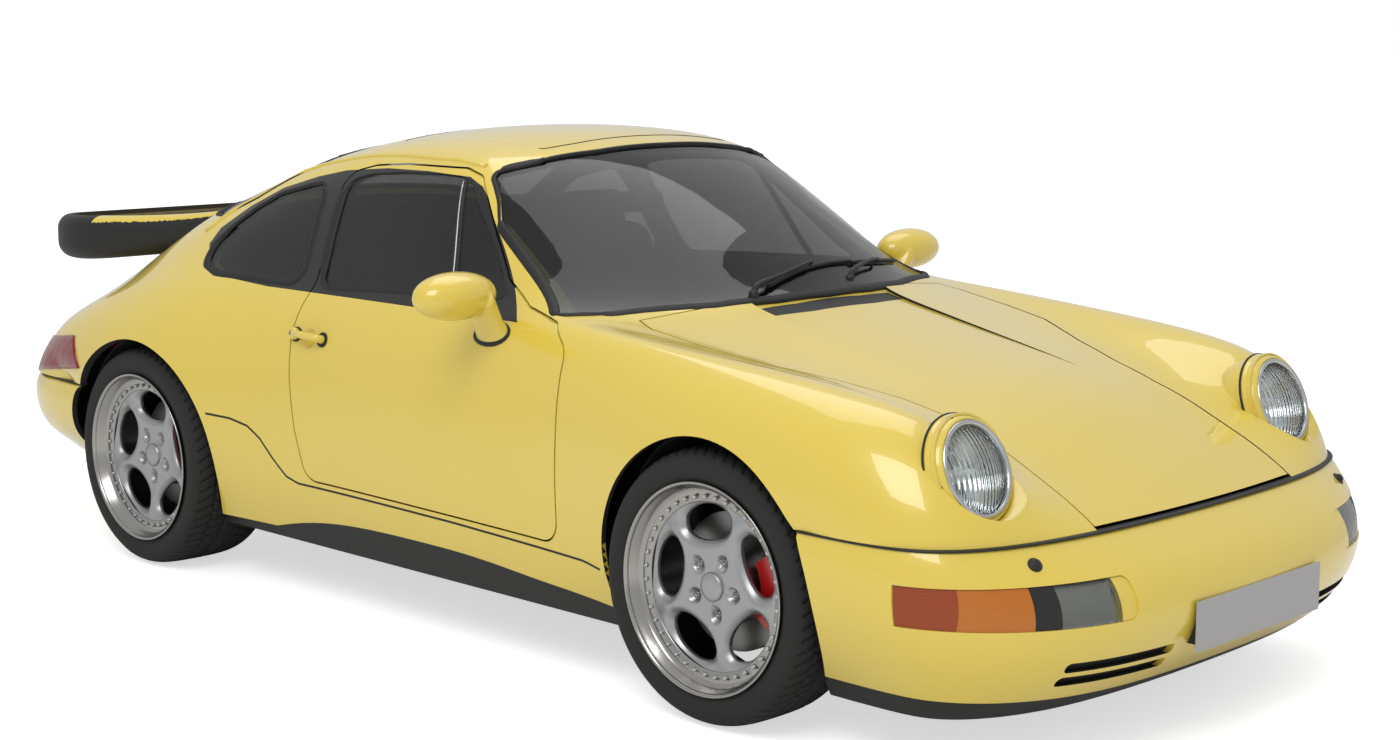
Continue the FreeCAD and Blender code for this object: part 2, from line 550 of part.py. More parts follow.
vent_layer = skin_solid(moved(BODY_ROWS, lambda i, j: recess_depth(i, j) + 1),
                        moved(BODY_ROWS, lambda i, j: recess_depth(i, j) + 1 + VENT_WALL))
parts["lid_vent"] = main_solid(vent_layer.common(prism(grown(vent_outline, -FIT_GAP), Vector(), lid_reach)))
engine_lid = whole.common(plan_tool(grown(engine_lid_wire, -SHUT_GAP), LID_SLANT, LID_PLANE))
parts["engine_lid"] = main_solid(engine_lid)
parts["sunroof_panel"] = main_solid(whole.common(plan_tool(grown(sunroof_wire, -PANEL_GAP), 0.0, LID_PLANE)))

# Doors with their window frames
for name, sign in (("left", 1), ("right", -1)):
    leaf = whole.common(side_tool(grown(door_wire, -SHUT_GAP), sign, DOOR_SLANT))
    leaf = leaf.cut(side_tool(door_window_wire, sign))
    parts["door_" + name] = main_solid(leaf)
    pane = glazing.common(side_tool(grown(door_window_wire, -FIT_GAP), sign))
    parts["door_glass_" + name] = main_solid(pane)

quarter_panes = [main_solid(glazing.common(side_tool(grown(quarter_wire, -FIT_GAP), sign)))
                 for sign in (1, -1)]
windscreen = main_solid(glazing.common(
    screen_tool(grown(windscreen_wire, -FIT_GAP), WINDSCREEN_ENDS_SHARES)))
rear_window = main_solid(glazing.common(
    screen_tool(grown(rear_window_wire, -FIT_GAP), REAR_WINDOW_ENDS_SHARES)))
parts["fixed_windows"] = Part.Compound([windscreen, rear_window] + quarter_panes)

# Everything inside stays clear of the lids by this second, thicker skin
CLEAR_ROWS = moved(BODY_ROWS, lambda i, j: body_depth(i, j) + 2 * SHUT_GAP)
clear_skin = skin_solid(BODY_ROWS, CLEAR_ROWS)

# Bumpers: a plan line swept down a section. Each level of the section is (share of HEIGHT,
# share of WIDTH that it stands out at the sides, the same at the middle).
FRONT_LINE_SHARES = [
    (0.3541, 0.477), (0.3765, 0.478), (0.4000, 0.476), (0.4212, 0.465), (0.4381, 0.437),
    (0.4499, 0.389), (0.4584, 0.321), (0.4640, 0.242), (0.4671, 0.141), (0.4682, 0),
]
FRONT_SWELL_SHARES = (0, 0, 0.02, 0.08, 0.2, 0.5, 0.8, 0.95, 1, 1)
FRONT_SECTION_SHARES = [
    (0.38682, 0, 0), (0.37984, 0.0023, 0.0079), (0.36434, 0.0056, 0.0237),
    (0.34109, 0.0068, 0.0479), (0.31008, 0.0062, 0.0676), (0.27132, 0.0023, 0.0766),
    (0.22481, -0.0079, 0.0738), (0.17442, -0.0254, 0.0563), (0.13178, -0.0451, 0.0254),
]
LIP_SECTION_SHARES = [
    (0.13155, -0.0485, 0.0225), (0.12016, -0.0518, 0.0169), (0.10620, -0.0563, 0),
    (0.09302, -0.0620, -0.0225),
]
REAR_LINE_SHARES = [
    (-0.3165, 0.489), (-0.3459, 0.487), (-0.3765, 0.474), (-0.4059, 0.448), (-0.4231, 0.408),
    (-0.4353, 0.363), (-0.4447, 0.315), (-0.4527, 0.259), (-0.4600, 0.169), (-0.4654, 0),
]
REAR_SWELL_SHARES = (0, 0.02, 0.05, 0.1, 0.15, 0.25, 0.55, 0.85, 1, 1)
REAR_SECTION_SHARES = [
    (0.38682, 0, 0), (0.38450, 0.0079, 0.0282), (0.37054, 0.0113, 0.0518),
    (0.34729, 0.0118, 0.0721), (0.31395, 0.0090, 0.0839), (0.27519, 0, 0.0834),
    (0.24186, -0.0192, 0.0699), (0.22016, -0.0423, 0.0473), (0.20310, -0.0563, 0.0310),
]


def swept_rows(line_shares, swell_shares, section_shares, wall):
    """Rows of poles for a bumper, drawn in by the wall for its inner skin."""
    line = plan(line_shares)
    ends = [line[0]] + line[:-1], line[1:] + [Vector(line[-1].x, -line[-2].y, 0)]
    sense = 1 if line[-1].x > 0 else -1
    rows = []
    for height, at_side, at_middle in section_shares:
        row = []
        for point, before, after, swell in zip(line, ends[0], ends[1], swell_shares):
            tangent = (after - before).normalize()
            out = Vector(-tangent.y, tangent.x, 0) * sense
            stand = (at_side * (1 - swell) + at_middle * swell) * WIDTH - wall
            spot = point + out * stand
            row.append(Vector(spot.x, 0 if point.y == 0 else spot.y, height * HEIGHT))
        rows.append(row)
    return rows


def swept_shell(line_shares, swell_shares, section_shares, wall):
    return skin_solid(swept_rows(line_shares, swell_shares, section_shares, 0),
                      swept_rows(line_shares, swell_shares, section_shares, wall))


front_bumper = swept_shell(FRONT_LINE_SHARES, FRONT_SWELL_SHARES, FRONT_SECTION_SHARES, BUMPER_WALL)
front_lip = swept_shell(FRONT_LINE_SHARES, FRONT_SWELL_SHARES, LIP_SECTION_SHARES, BUMPER_WALL)
rear_bumper = swept_shell(REAR_LINE_SHARES, REAR_SWELL_SHARES, REAR_SECTION_SHARES, BUMPER_WALL)
front_bumper = main_solid(front_bumper.cut(front_arch))
front_lip = main_solid(front_lip.cut(front_arch))
rear_bumper = main_solid(rear_bumper.cut(rear_arch))
parts["front_bumper"] = front_bumper
parts["rear_bumper"] = rear_bumper
STRIP_WALL = 22.0
STRIP_SECTION_SHARES = [
    (0.39124, 0.0017, 0.0017), (0.39008, 0.0028, 0.0034), (0.38837, 0.0028, 0.0034),
    (0.38721, 0.0017, 0.0017),
]
front_strip = swept_shell(FRONT_LINE_SHARES, FRONT_SWELL_SHARES, STRIP_SECTION_SHARES, STRIP_WALL)
rear_strip = swept_shell(REAR_LINE_SHARES, REAR_SWELL_SHARES, STRIP_SECTION_SHARES, STRIP_WALL)
parts["bumper_strips"] = Part.Compound([main_solid(front_strip.cut(front_arch)),
                                        main_solid(rear_strip.cut(rear_arch))])

# Lamp band across the tail
TAIL_BAND_SHARES = (0.3955, 0.4735)
TAIL_BAND_FRONT_SHARE = -0.398
TAIL_LAMP_SPLIT_SHARE = 0.24
band = box(-LENGTH, TAIL_BAND_FRONT_SHARE * LENGTH, -WIDTH, WIDTH,
           TAIL_BAND_SHARES[0] * HEIGHT, TAIL_BAND_SHARES[1] * HEIGHT)
band_solid = main_solid(rear_body.common(band))
split = TAIL_LAMP_SPLIT_SHARE * WIDTH
parts["body_shell"] = parts["body_shell"].cut(band)
rear_reflector = band_solid.common(box(-LENGTH, 0, -split, split, 0, HEIGHT))
tail_lamp = band_solid.common(box(-LENGTH, 0, split, WIDTH, 0, HEIGHT))
parts["tail_lamps"] = Part.Compound(rear_reflector.Solids + tail_lamp.Solids + mirror_y(tail_lamp).Solids)

# Lamp units, air slots and plates of the bumpers. Each lamp unit is a row of lenses from the
# recess's inner end out round the corner: clear lens, black divider, two amber lenses.
LAMP_ROW_SHARES = (0.415, 0.244, 0.268, 0.347, 0.376, 0.441, 0.5)
LAMP_LOW_SHARE, LAMP_HIGH_SHARE, LENS_SETBACK, LENS_WALL, RECESS_ROUND = 0.265, 0.334, 4.0, 20.0, 20.0
SLOT_SHARES = (0.165, 0.332, 0.1855, 0.2035, 0.159, 0.177)
SLOT_ROUND, INSERT_WALL = 10.0, 6.0
PLATE_SIZE, PLATE_PLACES, PLATE_STEP = (520.0, 112.0), (0.228, 0.297), 3.0
BRACKET_SHRINK, BRACKET_DEPTH = 14.0, 60.0


def rounded_block(y0, y1, z0, z1, radius, x0):
    """Block ahead of x0 whose front outline is a rounded rectangle."""
    wire = rounded_wire([Vector(0, y0, z0), Vector(0, y1, z0), Vector(0, y1, z1), Vector(0, y0, z1)],
                        radius)
    return prism(wire, Vector(x0, 0, 0), Vector(LENGTH, 0, 0))


def bumper_layer(near, far):
    """The front bumper's wall between two depths under its skin."""
    return skin_solid(swept_rows(FRONT_LINE_SHARES, FRONT_SWELL_SHARES, FRONT_SECTION_SHARES, near),
                      swept_rows(FRONT_LINE_SHARES, FRONT_SWELL_SHARES, FRONT_SECTION_SHARES, far))


row_x = LAMP_ROW_SHARES[0] * LENGTH
row_y = [share * WIDTH for share in LAMP_ROW_SHARES[1:]]
lamp_low, lamp_high = LAMP_LOW_SHARE * HEIGHT, LAMP_HIGH_SHARE * HEIGHT
recess = rounded_block(row_y[0], WIDTH, lamp_low, lamp_high, RECESS_ROUND, row_x)
lens_room = rounded_block(row_y[0] + FIT_GAP, WIDTH, lamp_low + FIT_GAP, lamp_high - FIT_GAP,
                          RECESS_ROUND, row_x + FIT_GAP)
lens_wall = main_solid(bumper_layer(LENS_SETBACK, LENS_SETBACK + LENS_WALL).common(lens_room))


def lens(first, last):
    """The piece of the lens wall between two upright planes."""
    return main_solid(lens_wall.common(box(0, LENGTH, row_y[first] + FIT_GAP, row_y[last], 0, HEIGHT)))


amber = [lens(3, 4), lens(4, 5)]
parts["front_lamps"] = Part.Compound(amber + [mirror_y(piece) for piece in amber])
fog_lens = lens(1, 2)
inserts = [lens(0, 1), lens(2, 3)]
front_cuts = [recess, mirror_y(recess)]
backing = bumper_layer(BUMPER_WALL + FIT_GAP, BUMPER_WALL + FIT_GAP + INSERT_WALL)
y0, y1 = SLOT_SHARES[0] * WIDTH, SLOT_SHARES[1] * WIDTH
for low, high in (SLOT_SHARES[2:4], SLOT_SHARES[4:6]):
    slot = rounded_block(y0, y1, low * HEIGHT, high * HEIGHT, SLOT_ROUND, 0.4 * LENGTH)
    front_cuts += [slot, mirror_y(slot)]
inserts.append(main_solid(backing.common(box(0, LENGTH, y0 - SLOT_ROUND, y1 + SLOT_ROUND,
                                             SLOT_SHARES[4] * HEIGHT - SLOT_ROUND,
                                             SLOT_SHARES[3] * HEIGHT + SLOT_ROUND))))
plate_x = LENGTH / 2
plate_z = [share * HEIGHT for share in PLATE_PLACES]
plates, brackets = [], []
for sense, low, bumper in ((1, plate_z[0] - PLATE_SIZE[1] / 2, front_bumper),
                           (-1, plate_z[1] - PLATE_SIZE[1] / 2, rear_bumper)):
    high = low + PLATE_SIZE[1]
    near, far = sorted((sense * (plate_x - PLATE_STEP), sense * plate_x))
    plates.append(box(near, far, -PLATE_SIZE[0] / 2, PLATE_SIZE[0] / 2, low, high))
    near, far = sorted((sense * (plate_x - PLATE_STEP - FIT_GAP), sense * (plate_x - BRACKET_DEPTH)))
    bracket = box(near, far, BRACKET_SHRINK - PLATE_SIZE[0] / 2, PLATE_SIZE[0] / 2 - BRACKET_SHRINK,
                  low + BRACKET_SHRINK, high - BRACKET_SHRINK).cut(bumper)
    brackets += [piece for piece in bracket.Solids
                 if max(abs(piece.BoundBox.XMin), abs(piece.BoundBox.XMax)) > plate_x - 2 * PLATE_STEP]
parts["number_plates"] = Part.Compound(plates)
parts["bumper_inserts"] = Part.Compound(inserts + [mirror_y(piece) for piece in inserts] + brackets)
front_bumper = front_bumper.cut(front_cuts)
parts["front_bumper"] = main_solid(front_bumper)

# Black trims under the sills, and the exhaust
SILL_SHARES = (0.4, 0.436, 0.127)
SILL_CHAMFER = 14.0
sill_x1, sill_top = FRONT_AXLE_X, BODY_ROWS[9][0].z - FIT_GAP
sill = box(REAR_AXLE_X, sill_x1, SILL_SHARES[0] * WIDTH, SILL_SHARES[1] * WIDTH, SILL_SHARES[2] * HEIGHT,
           HEIGHT * BODY_EDGE_SHARE / 2)
sill = main_solid(sill.cut([front_arch, rear_arch, skin]))
parts["lower_trims"] = Part.Compound(front_lip.Solids + [sill, mirror_y(sill)])
SILENCER_SHARES, SILENCER_RADIUS = (-0.4396, 0.2, 0.228), 66.0
PIPE_SHARES, PIPE_RADIUS, PIPE_WALL, PIPE_MOUTH = (-0.488, 0.225, 0.164), 34.0, 3.0, 120.0
silencer = cylinder_y(SILENCER_RADIUS, SILENCER_SHARES[0] * LENGTH, SILENCER_SHARES[2] * HEIGHT,
                      -SILENCER_SHARES[1] * WIDTH, SILENCER_SHARES[1] * WIDTH)
pipe_start = Vector(SILENCER_SHARES[0] * LENGTH, (PIPE_SHARES[1] - 0.06) * WIDTH, PIPE_SHARES[2] * HEIGHT)
pipe_length = pipe_start.x - PIPE_SHARES[0] * LENGTH
pipe = Part.makeCylinder(PIPE_RADIUS, pipe_length, pipe_start, Vector(-1, 0, 0))
mouth = Part.makeCylinder(PIPE_RADIUS - PIPE_WALL, PIPE_MOUTH,
                          Vector(PIPE_SHARES[0] * LENGTH, pipe_start.y, pipe_start.z), Vector(1, 0, 0))
exhaust = silencer.fuse([pipe, mirror_y(pipe)]).cut([mouth, mirror_y(mouth)])
parts["exhaust"] = main_solid(exhaust)

# Headlamps: a rim set in the fender, a domed glass and a bowl behind it
RIM_SECTION, BOWL_WALL, GLASS_DOME = 14.0, 3.0, 30.0


def turned_lamp(profile):
    """Solid turned about the lamp's axis, from (radius, distance ahead) points."""
    points = [Vector(r, 0, a) for r, a in profile]
    solid = Part.Face(Part.makePolygon(points + points[:1])).revolve(Vector(), Vector(0, 0, 1), 360)
    turn = FreeCAD.Placement(lamp_centre, FreeCAD.Rotation(Vector(0, 0, 1), lamp_axis))
    solid.Placement = turn
    return solid


ring = turned_lamp([(LAMP_GLASS_RADIUS, -RIM_SECTION), (LAMP_RADIUS - FIT_GAP, -RIM_SECTION),
                    (LAMP_RADIUS - FIT_GAP, 0), (LAMP_RADIUS - RIM_SECTION, RIM_SECTION / 2),
                    (LAMP_GLASS_RADIUS, 0)])
dome_radius = (LAMP_GLASS_RADIUS ** 2 + GLASS_DOME ** 2) / (2 * GLASS_DOME)


def cap(inset):
    """Solid cap of the glass's sphere ahead of the rim plane."""
    ball = Part.makeSphere(dome_radius - inset, Vector(0, 0, GLASS_DOME - dome_radius))
    room = Part.makeCylinder(LAMP_GLASS_RADIUS - FIT_GAP, GLASS_DOME * 2)
    return ball.common(room)


glass = cap(0).cut(cap(GLASS_WALL))
glass.Placement = FreeCAD.Placement(lamp_centre, FreeCAD.Rotation(Vector(0, 0, 1), lamp_axis))
bowl_radius = LAMP_GLASS_RADIUS + BOWL_WALL
bowl = turned_lamp([(0, -LAMP_DEPTH), (bowl_radius / 2, -LAMP_DEPTH), (bowl_radius, -RIM_SECTION),
                    (bowl_radius - BOWL_WALL, -RIM_SECTION),
                    (bowl_radius / 2, BOWL_WALL - LAMP_DEPTH), (0, BOWL_WALL - LAMP_DEPTH)])
parts["headlamp_rings"] = both_sides(ring)
glass = main_solid(glass)
parts["lamp_glasses"] = Part.Compound([glass, mirror_y(glass), fog_lens, mirror_y(fog_lens)])
parts["headlamp_bowls"] = both_sides(bowl)

# Tea-tray tail on the engine lid. Each station is (share of LENGTH, half width as share of
# WIDTH, share of HEIGHT at its underside, share of HEIGHT at its top).
TRAY_SHARES = [
    (-0.2969, 0.214, 0.744, 0.783), (-0.3294, 0.256, 0.690, 0.769), (-0.3765, 0.315, 0.659, 0.758),
    (-0.4235, 0.358, 0.645, 0.753), (-0.4541, 0.343, 0.648, 0.750), (-0.4729, 0.301, 0.659, 0.747),
    (-0.4805, 0.242, 0.676, 0.742),
]
TRAY_LIP_SHARES = [
    (-0.3106, 0.169), (-0.3294, 0.231), (-0.3765, 0.292), (-0.4188, 0.334), (-0.4471, 0.326),
    (-0.4631, 0.285), (-0.4696, 0.231), (-0.4715, 0),
]
TRAY_DISH_SHARES = [
    (-0.3129, 0.766), (-0.3129, 0.915), (-0.4941, 0.915), (-0.4941, 0.732),
]
TRAY_CORNER, TRAY_LIP_FRONT_SHARE = 45.0, -0.405
LOUVRE_COUNT, LOUVRE_PITCH, LOUVRE_WIDTH, LOUVRE_DEPTH, LOUVRE_HALF = 12, 26.0, 12.0, 26.0, 330.0
LOUVRE_FRONT_SHARE, LOUVRE_FLOOR_SHARE = -0.345, 0.72


def tray_section(x, half, low, high):
    corners = [Vector(x, -half, low), Vector(x, half, low), Vector(x, half, high),
               Vector(x, -half, high)]
    return rounded_wire(corners, min(TRAY_CORNER, (high - low) * 0.4))


tray_wires = [tray_section(x * LENGTH, half * WIDTH, low * HEIGHT, high * HEIGHT)
              for x, half, low, high in TRAY_SHARES]
tray = Part.makeLoft(tray_wires, True, False)
tray = main_solid(tray.cut(skin))
lip_wire = rounded_wire(mirrored(plan(TRAY_LIP_SHARES)), TRAY_CORNER)
lip_front = TRAY_LIP_FRONT_SHARE * LENGTH
behind = box(-LENGTH, lip_front, -WIDTH, WIDTH, 0, HEIGHT)
inside_lip = prism(grown(lip_wire, -FIT_GAP), Vector(), Vector(0, 0, HEIGHT))
tray_lip = tray.cut(prism(lip_wire, Vector(), Vector(0, 0, HEIGHT))).common(behind)
dish = prism(Part.makePolygon(side(TRAY_DISH_SHARES) + side(TRAY_DISH_SHARES)[:1]),
             Vector(0, -WIDTH, 0), Vector(0, 2 * WIDTH, 0)).common(inside_lip)
rim_zone = box(-LENGTH, lip_front + FIT_GAP, -WIDTH, WIDTH, 0, HEIGHT).cut(inside_lip)
tray = tray.cut([rim_zone, dish])
slots = []
for k in range(LOUVRE_COUNT):
    x = LOUVRE_FRONT_SHARE * LENGTH - k * LOUVRE_PITCH
    slots.append(box(x, x + LOUVRE_WIDTH, -LOUVRE_HALF, LOUVRE_HALF, LOUVRE_FLOOR_SHARE * HEIGHT, HEIGHT))
parts["spoiler"] = main_solid(tray.cut(slots))
parts["spoiler_lip"] = main_solid(tray_lip)

# Door mirrors
MIRROR_PROFILE = [(0, -110.0), (36.0, -100.0), (54.0, -72.0), (62.0, -30.0), (63.0, 12.0), (56.0, 56.0),
                  (40.0, 86.0), (20.0, 102.0), (0, 106.0)]
MIRROR_PLACE_SHARES = (0.0965, 0.489, 0.7035)
MIRROR_FOOT_SHARES = (0.1175, 0.431, 0.659)
MIRROR_FOOT_RADII = (27.0, 40.0)
MIRROR_FACE = 26.0
mirror_centre = Vector(MIRROR_PLACE_SHARES[0] * LENGTH, MIRROR_PLACE_SHARES[1] * WIDTH,
                       MIRROR_PLACE_SHARES[2] * HEIGHT)
mirror_foot = Vector(MIRROR_FOOT_SHARES[0] * LENGTH, MIRROR_FOOT_SHARES[1] * WIDTH,
                     MIRROR_FOOT_SHARES[2] * HEIGHT)
egg_line = Part.BSplineCurve()
egg_line.interpolate([Vector(-r, y, 0) for r, y in MIRROR_PROFILE])
egg_axis = Part.makeLine(egg_line.EndPoint, egg_line.StartPoint)
egg = Part.Face(Part.Wire([egg_line.toShape(), egg_axis])).revolve(Vector(), Vector(0, 1, 0), 360)
if egg.Volume < 0:
    egg.reverse()
egg.translate(mirror_centre)
foot_line = mirror_foot - mirror_centre
foot = Part.makeCone(MIRROR_FOOT_RADII[0], MIRROR_FOOT_RADII[1], foot_line.Length, mirror_centre,
                     foot_line)
back_x = mirror_centre.x - MIRROR_FACE
egg = main_solid(egg.cut(box(-LENGTH, back_x, 0, WIDTH, 0, HEIGHT))).toNurbs()
mirror_body = main_solid(main_solid(foot.cut(parts["door_left"])).fuse(egg))

# Door handles: a pull bar over a round hollow in the door's skin
HANDLE_PLACE_SHARES = [
    (-0.0779, 0.571),
]
HANDLE_LENGTH, HANDLE_HEIGHT, HANDLE_PROUD, HANDLE_WALL = 136.0, 22.0, 24.0, 12.0
HOLLOW_RADIUS, HOLLOW_DEPTH, HOLLOW_HALF = 34.0, 14.0, 38.0
handle_centre = side(HANDLE_PLACE_SHARES)[0]
handle_line = Part.makeLine(handle_centre, handle_centre + Vector(0, WIDTH, 0))
handle_y = max(v.Point.y for v in parts["door_left"].common(handle_line).Vertexes)
handle = prism(rectangle_xz(handle_centre, HANDLE_LENGTH, HANDLE_HEIGHT, HANDLE_HEIGHT / 3),
               Vector(0, handle_y - HANDLE_PROUD, 0), Vector(0, 2 * HANDLE_PROUD, 0))
handle = handle.cut(box(handle_centre.x - HOLLOW_HALF, handle_centre.x + HOLLOW_HALF, 0,
                        handle_y + HANDLE_PROUD - HANDLE_WALL, 0, HEIGHT))
handle = handle.cut(parts["door_left"])
handle = Part.Compound([solid for solid in handle.Solids if solid.BoundBox.YMax > handle_y + FIT_GAP])
hollow = Part.makeSphere(HOLLOW_RADIUS, Vector(handle_centre.x, handle_y + HOLLOW_RADIUS - HOLLOW_DEPTH,
                                               handle_centre.z))
fittings = Part.Compound([mirror_body] + handle.Solids)
parts["door_fittings_left"] = fittings
parts["door_fittings_right"] = mirror_y(fittings)

parts["door_left"] = main_solid(parts["door_left"].cut(hollow))
parts["door_right"] = mirror_y(parts["door_left"])

# Hinge pins of the engine lid and of the fuel flap, in their front shut lines
LINE_PIN, LINE_PIN_HALF, LID_PIN_SHARE = 1.2, 12.0, 0.04
flap_front = flap_centre.x + FLAP_WIDTH / 2 - SHUT_GAP / 2


def top_point(shape, x, y):
    """Highest point of a shape on the upright line through x and y."""
    line = Part.makeLine(Vector(x, y, 0), Vector(x, y, HEIGHT))
    return max((v.Point for v in shape.common(line).Vertexes), key=lambda p: p.z)


def outer_y(shape, x, z):
    line = Part.makeLine(Vector(x, 0, z), Vector(x, WIDTH, z))
    return max(v.Point.y for v in shape.common(line).Vertexes)


lid_pin_y = LID_PIN_SHARE * WIDTH
lid_edge = max((v.Point for v in parts["engine_lid"].slice(Vector(0, 1, 0), lid_pin_y)[0].Vertexes),
               key=lambda p: p.z)
lid_line = Vector(lid_edge.x + SHUT_GAP / 2, 0, lid_edge.z)
lid_pin = cylinder_y(LINE_PIN, lid_line.x, lid_line.z, lid_pin_y - LINE_PIN_HALF, lid_pin_y + LINE_PIN_HALF)
flap_low = Vector(flap_front, outer_y(sheet, flap_front, flap_centre.z - LINE_PIN_HALF),
                  flap_centre.z - LINE_PIN_HALF)
flap_high = Vector(flap_front, outer_y(sheet, flap_front, flap_centre.z + LINE_PIN_HALF),
                   flap_centre.z + LINE_PIN_HALF)
flap_pin = Part.makeCylinder(LINE_PIN, (flap_high - flap_low).Length, flap_low, flap_high - flap_low)
parts["hinge_pins"] = Part.Compound([lid_pin, mirror_y(lid_pin), flap_pin])

# Wheels: rim, tyre and brake disc, turned about the axle
LUG_CIRCLE, LUG_COUNT, LUG_HOLE = 130.0, 5, 26.0
SPOKE_COUNT = 5
WINDOW_INNER, WINDOW_OUTER, WINDOW_WEB, WINDOW_ROUND, WINDOW_FLARE = 100.0, 184.0, 50.0, 22.0, 6.0
RING_INNER, STAR_DISH, STAR_STEP, STAR_BOW, STAR_DEEP, CAP_PROUD = 204.0, 22.0, 5.0, 0.6, 34.0, 8.0
PLATE_WALL = 6.0
HUB_RADIUS, CAP_RADIUS, FACE_SETBACK, FACE_WALL, MOUNT_OFFSET = 82.0, 34.0, 24.0, 26.0, 50.0
LIP_WALL, DROP_RADIUS, FLANGE = 6.0, 205.0, 12.0
DISC_RADIUS, DISC_WALL, DISC_HAT_RADIUS, DISC_OFFSET = 161.0, 28.0, 95.0, -28.0
HUB_BORE = 24.0
SPINDLE_RADIUS = HUB_BORE - FIT_GAP
CALIPER_DEPTH, CALIPER_PROUD = 55.0, 14.0


def rim_shape(width):
    """One rim about the Y axis, its middle at the origin and its face towards +Y."""
    half = width / 2
    lip = half - FLANGE
    barrel = revolved_y([
        (RIM_LIP_RADIUS, -half), (RIM_LIP_RADIUS, -half + LIP_WALL), (BEAD_RADIUS, -lip),
        (BEAD_RADIUS, -lip / 2), (DROP_RADIUS, -lip / 4), (DROP_RADIUS, lip / 4),
        (BEAD_RADIUS, lip / 2), (BEAD_RADIUS, lip), (RIM_LIP_RADIUS, half - LIP_WALL),
        (RIM_LIP_RADIUS, half), (RIM_LIP_RADIUS - RIM_WALL, half),
        (BEAD_RADIUS - RIM_WALL, lip), (BEAD_RADIUS - RIM_WALL, lip / 2 + RIM_WALL / 2),
        (DROP_RADIUS - RIM_WALL, lip / 4), (DROP_RADIUS - RIM_WALL, -lip / 4),
        (BEAD_RADIUS - RIM_WALL, -lip / 2 - RIM_WALL / 2), (BEAD_RADIUS - RIM_WALL, -lip),
        (RIM_LIP_RADIUS - RIM_WALL, -half)], Vector())
    face = half - FACE_SETBACK
    dish = min(STAR_DISH, face - MOUNT_OFFSET - FACE_WALL)
    pad = MOUNT_OFFSET - face
    top = [(BEAD_RADIUS - RIM_WALL / 2, 0), (RING_INNER, 0), (RING_INNER - STAR_STEP, -STAR_STEP),
           ((RING_INNER + HUB_RADIUS) / 2, -dish * STAR_BOW), (HUB_RADIUS, -dish), (CAP_RADIUS, -dish),
           (CAP_RADIUS, CAP_PROUD - dish), (0, CAP_PROUD - dish)]
    under = [(0, pad), (HUB_RADIUS, pad), (HUB_RADIUS + PLATE_WALL * 2, -STAR_DEEP),
             (BEAD_RADIUS - RIM_WALL / 2, -FACE_WALL)]
    star = revolved_y([(r, face + y) for r, y in top + under], Vector())
    step = 2 * math.pi / SPOKE_COUNT
    holes = []
    for k in range(SPOKE_COUNT):
        holes.append(spoke_window(k * step, face))
        turn = (k + 0.5) * step
        spot = Vector(math.sin(turn), 0, math.cos(turn)) * (LUG_CIRCLE / 2)
        holes.append(Part.makeCylinder(LUG_HOLE / 2, width, spot + Vector(0, MOUNT_OFFSET + FACE_WALL / 2, 0),
                                       Vector(0, 1, 0)))
    return main_solid(barrel.fuse(star).cut(holes))


def window_wire(turn, height, spread):
    """Rounded outline of the opening between two spokes at a height along the axle."""
    half_step = math.pi / SPOKE_COUNT
    inner = half_step - math.asin((WINDOW_WEB / 2 - spread) / WINDOW_INNER)
    outer = half_step - math.asin((WINDOW_WEB / 2 - spread) / WINDOW_OUTER)
    reach = WINDOW_OUTER + spread
    low = WINDOW_INNER - spread
    corners = [Vector(r * math.sin(turn + a), height, r * math.cos(turn + a))
               for r, a in ((low, -inner * 0.72), (reach * 0.97, -outer * 0.93), (reach * 1.035, 0),
                            (reach * 0.97, outer * 0.93), (low, inner * 0.72))]
    return rounded_wire(corners, WINDOW_ROUND + spread)


def spoke_window(turn, face):
    """Opening between two spokes, wider at its mouth."""
    return Part.makeLoft([window_wire(turn, face - 3 * FACE_WALL, 0),
                          window_wire(turn, face - FACE_WALL, WINDOW_FLARE / 3),
                          window_wire(turn, face + WINDOW_FLARE, WINDOW_FLARE * 1.4)], True, True)


def tyre_shape(width, radius, rim_width):
    bead = rim_width / 2 - FLANGE - LIP_WALL
    wall = width / 2
    return revolved_y([(BEAD_RADIUS + FIT_GAP, -bead), (BEAD_RADIUS + 40.0, -wall), (radius - 28.0, -wall + 3.0),
                       (radius - 5.0, -wall + 20.0), (radius, 0), (radius - 5.0, wall - 20.0),
                       (radius - 28.0, wall - 3.0), (BEAD_RADIUS + 40.0, wall), (BEAD_RADIUS + FIT_GAP, bead)],
                      Vector())


def disc_shape():
    """Brake disc with its hat against the rim's mounting face."""
    return revolved_y([(HUB_BORE, DISC_OFFSET + DISC_WALL), (HUB_BORE, MOUNT_OFFSET), (DISC_HAT_RADIUS, MOUNT_OFFSET),
                       (DISC_HAT_RADIUS, DISC_OFFSET + DISC_WALL), (DISC_RADIUS, DISC_OFFSET + DISC_WALL),
                       (DISC_RADIUS, DISC_OFFSET), (DISC_HAT_RADIUS - 12.0, DISC_OFFSET),
                       (DISC_HAT_RADIUS - 12.0, MOUNT_OFFSET - 12.0), (HUB_RADIUS - 24.0, MOUNT_OFFSET - 12.0),
                       (HUB_RADIUS - 24.0, DISC_OFFSET + DISC_WALL)], Vector())


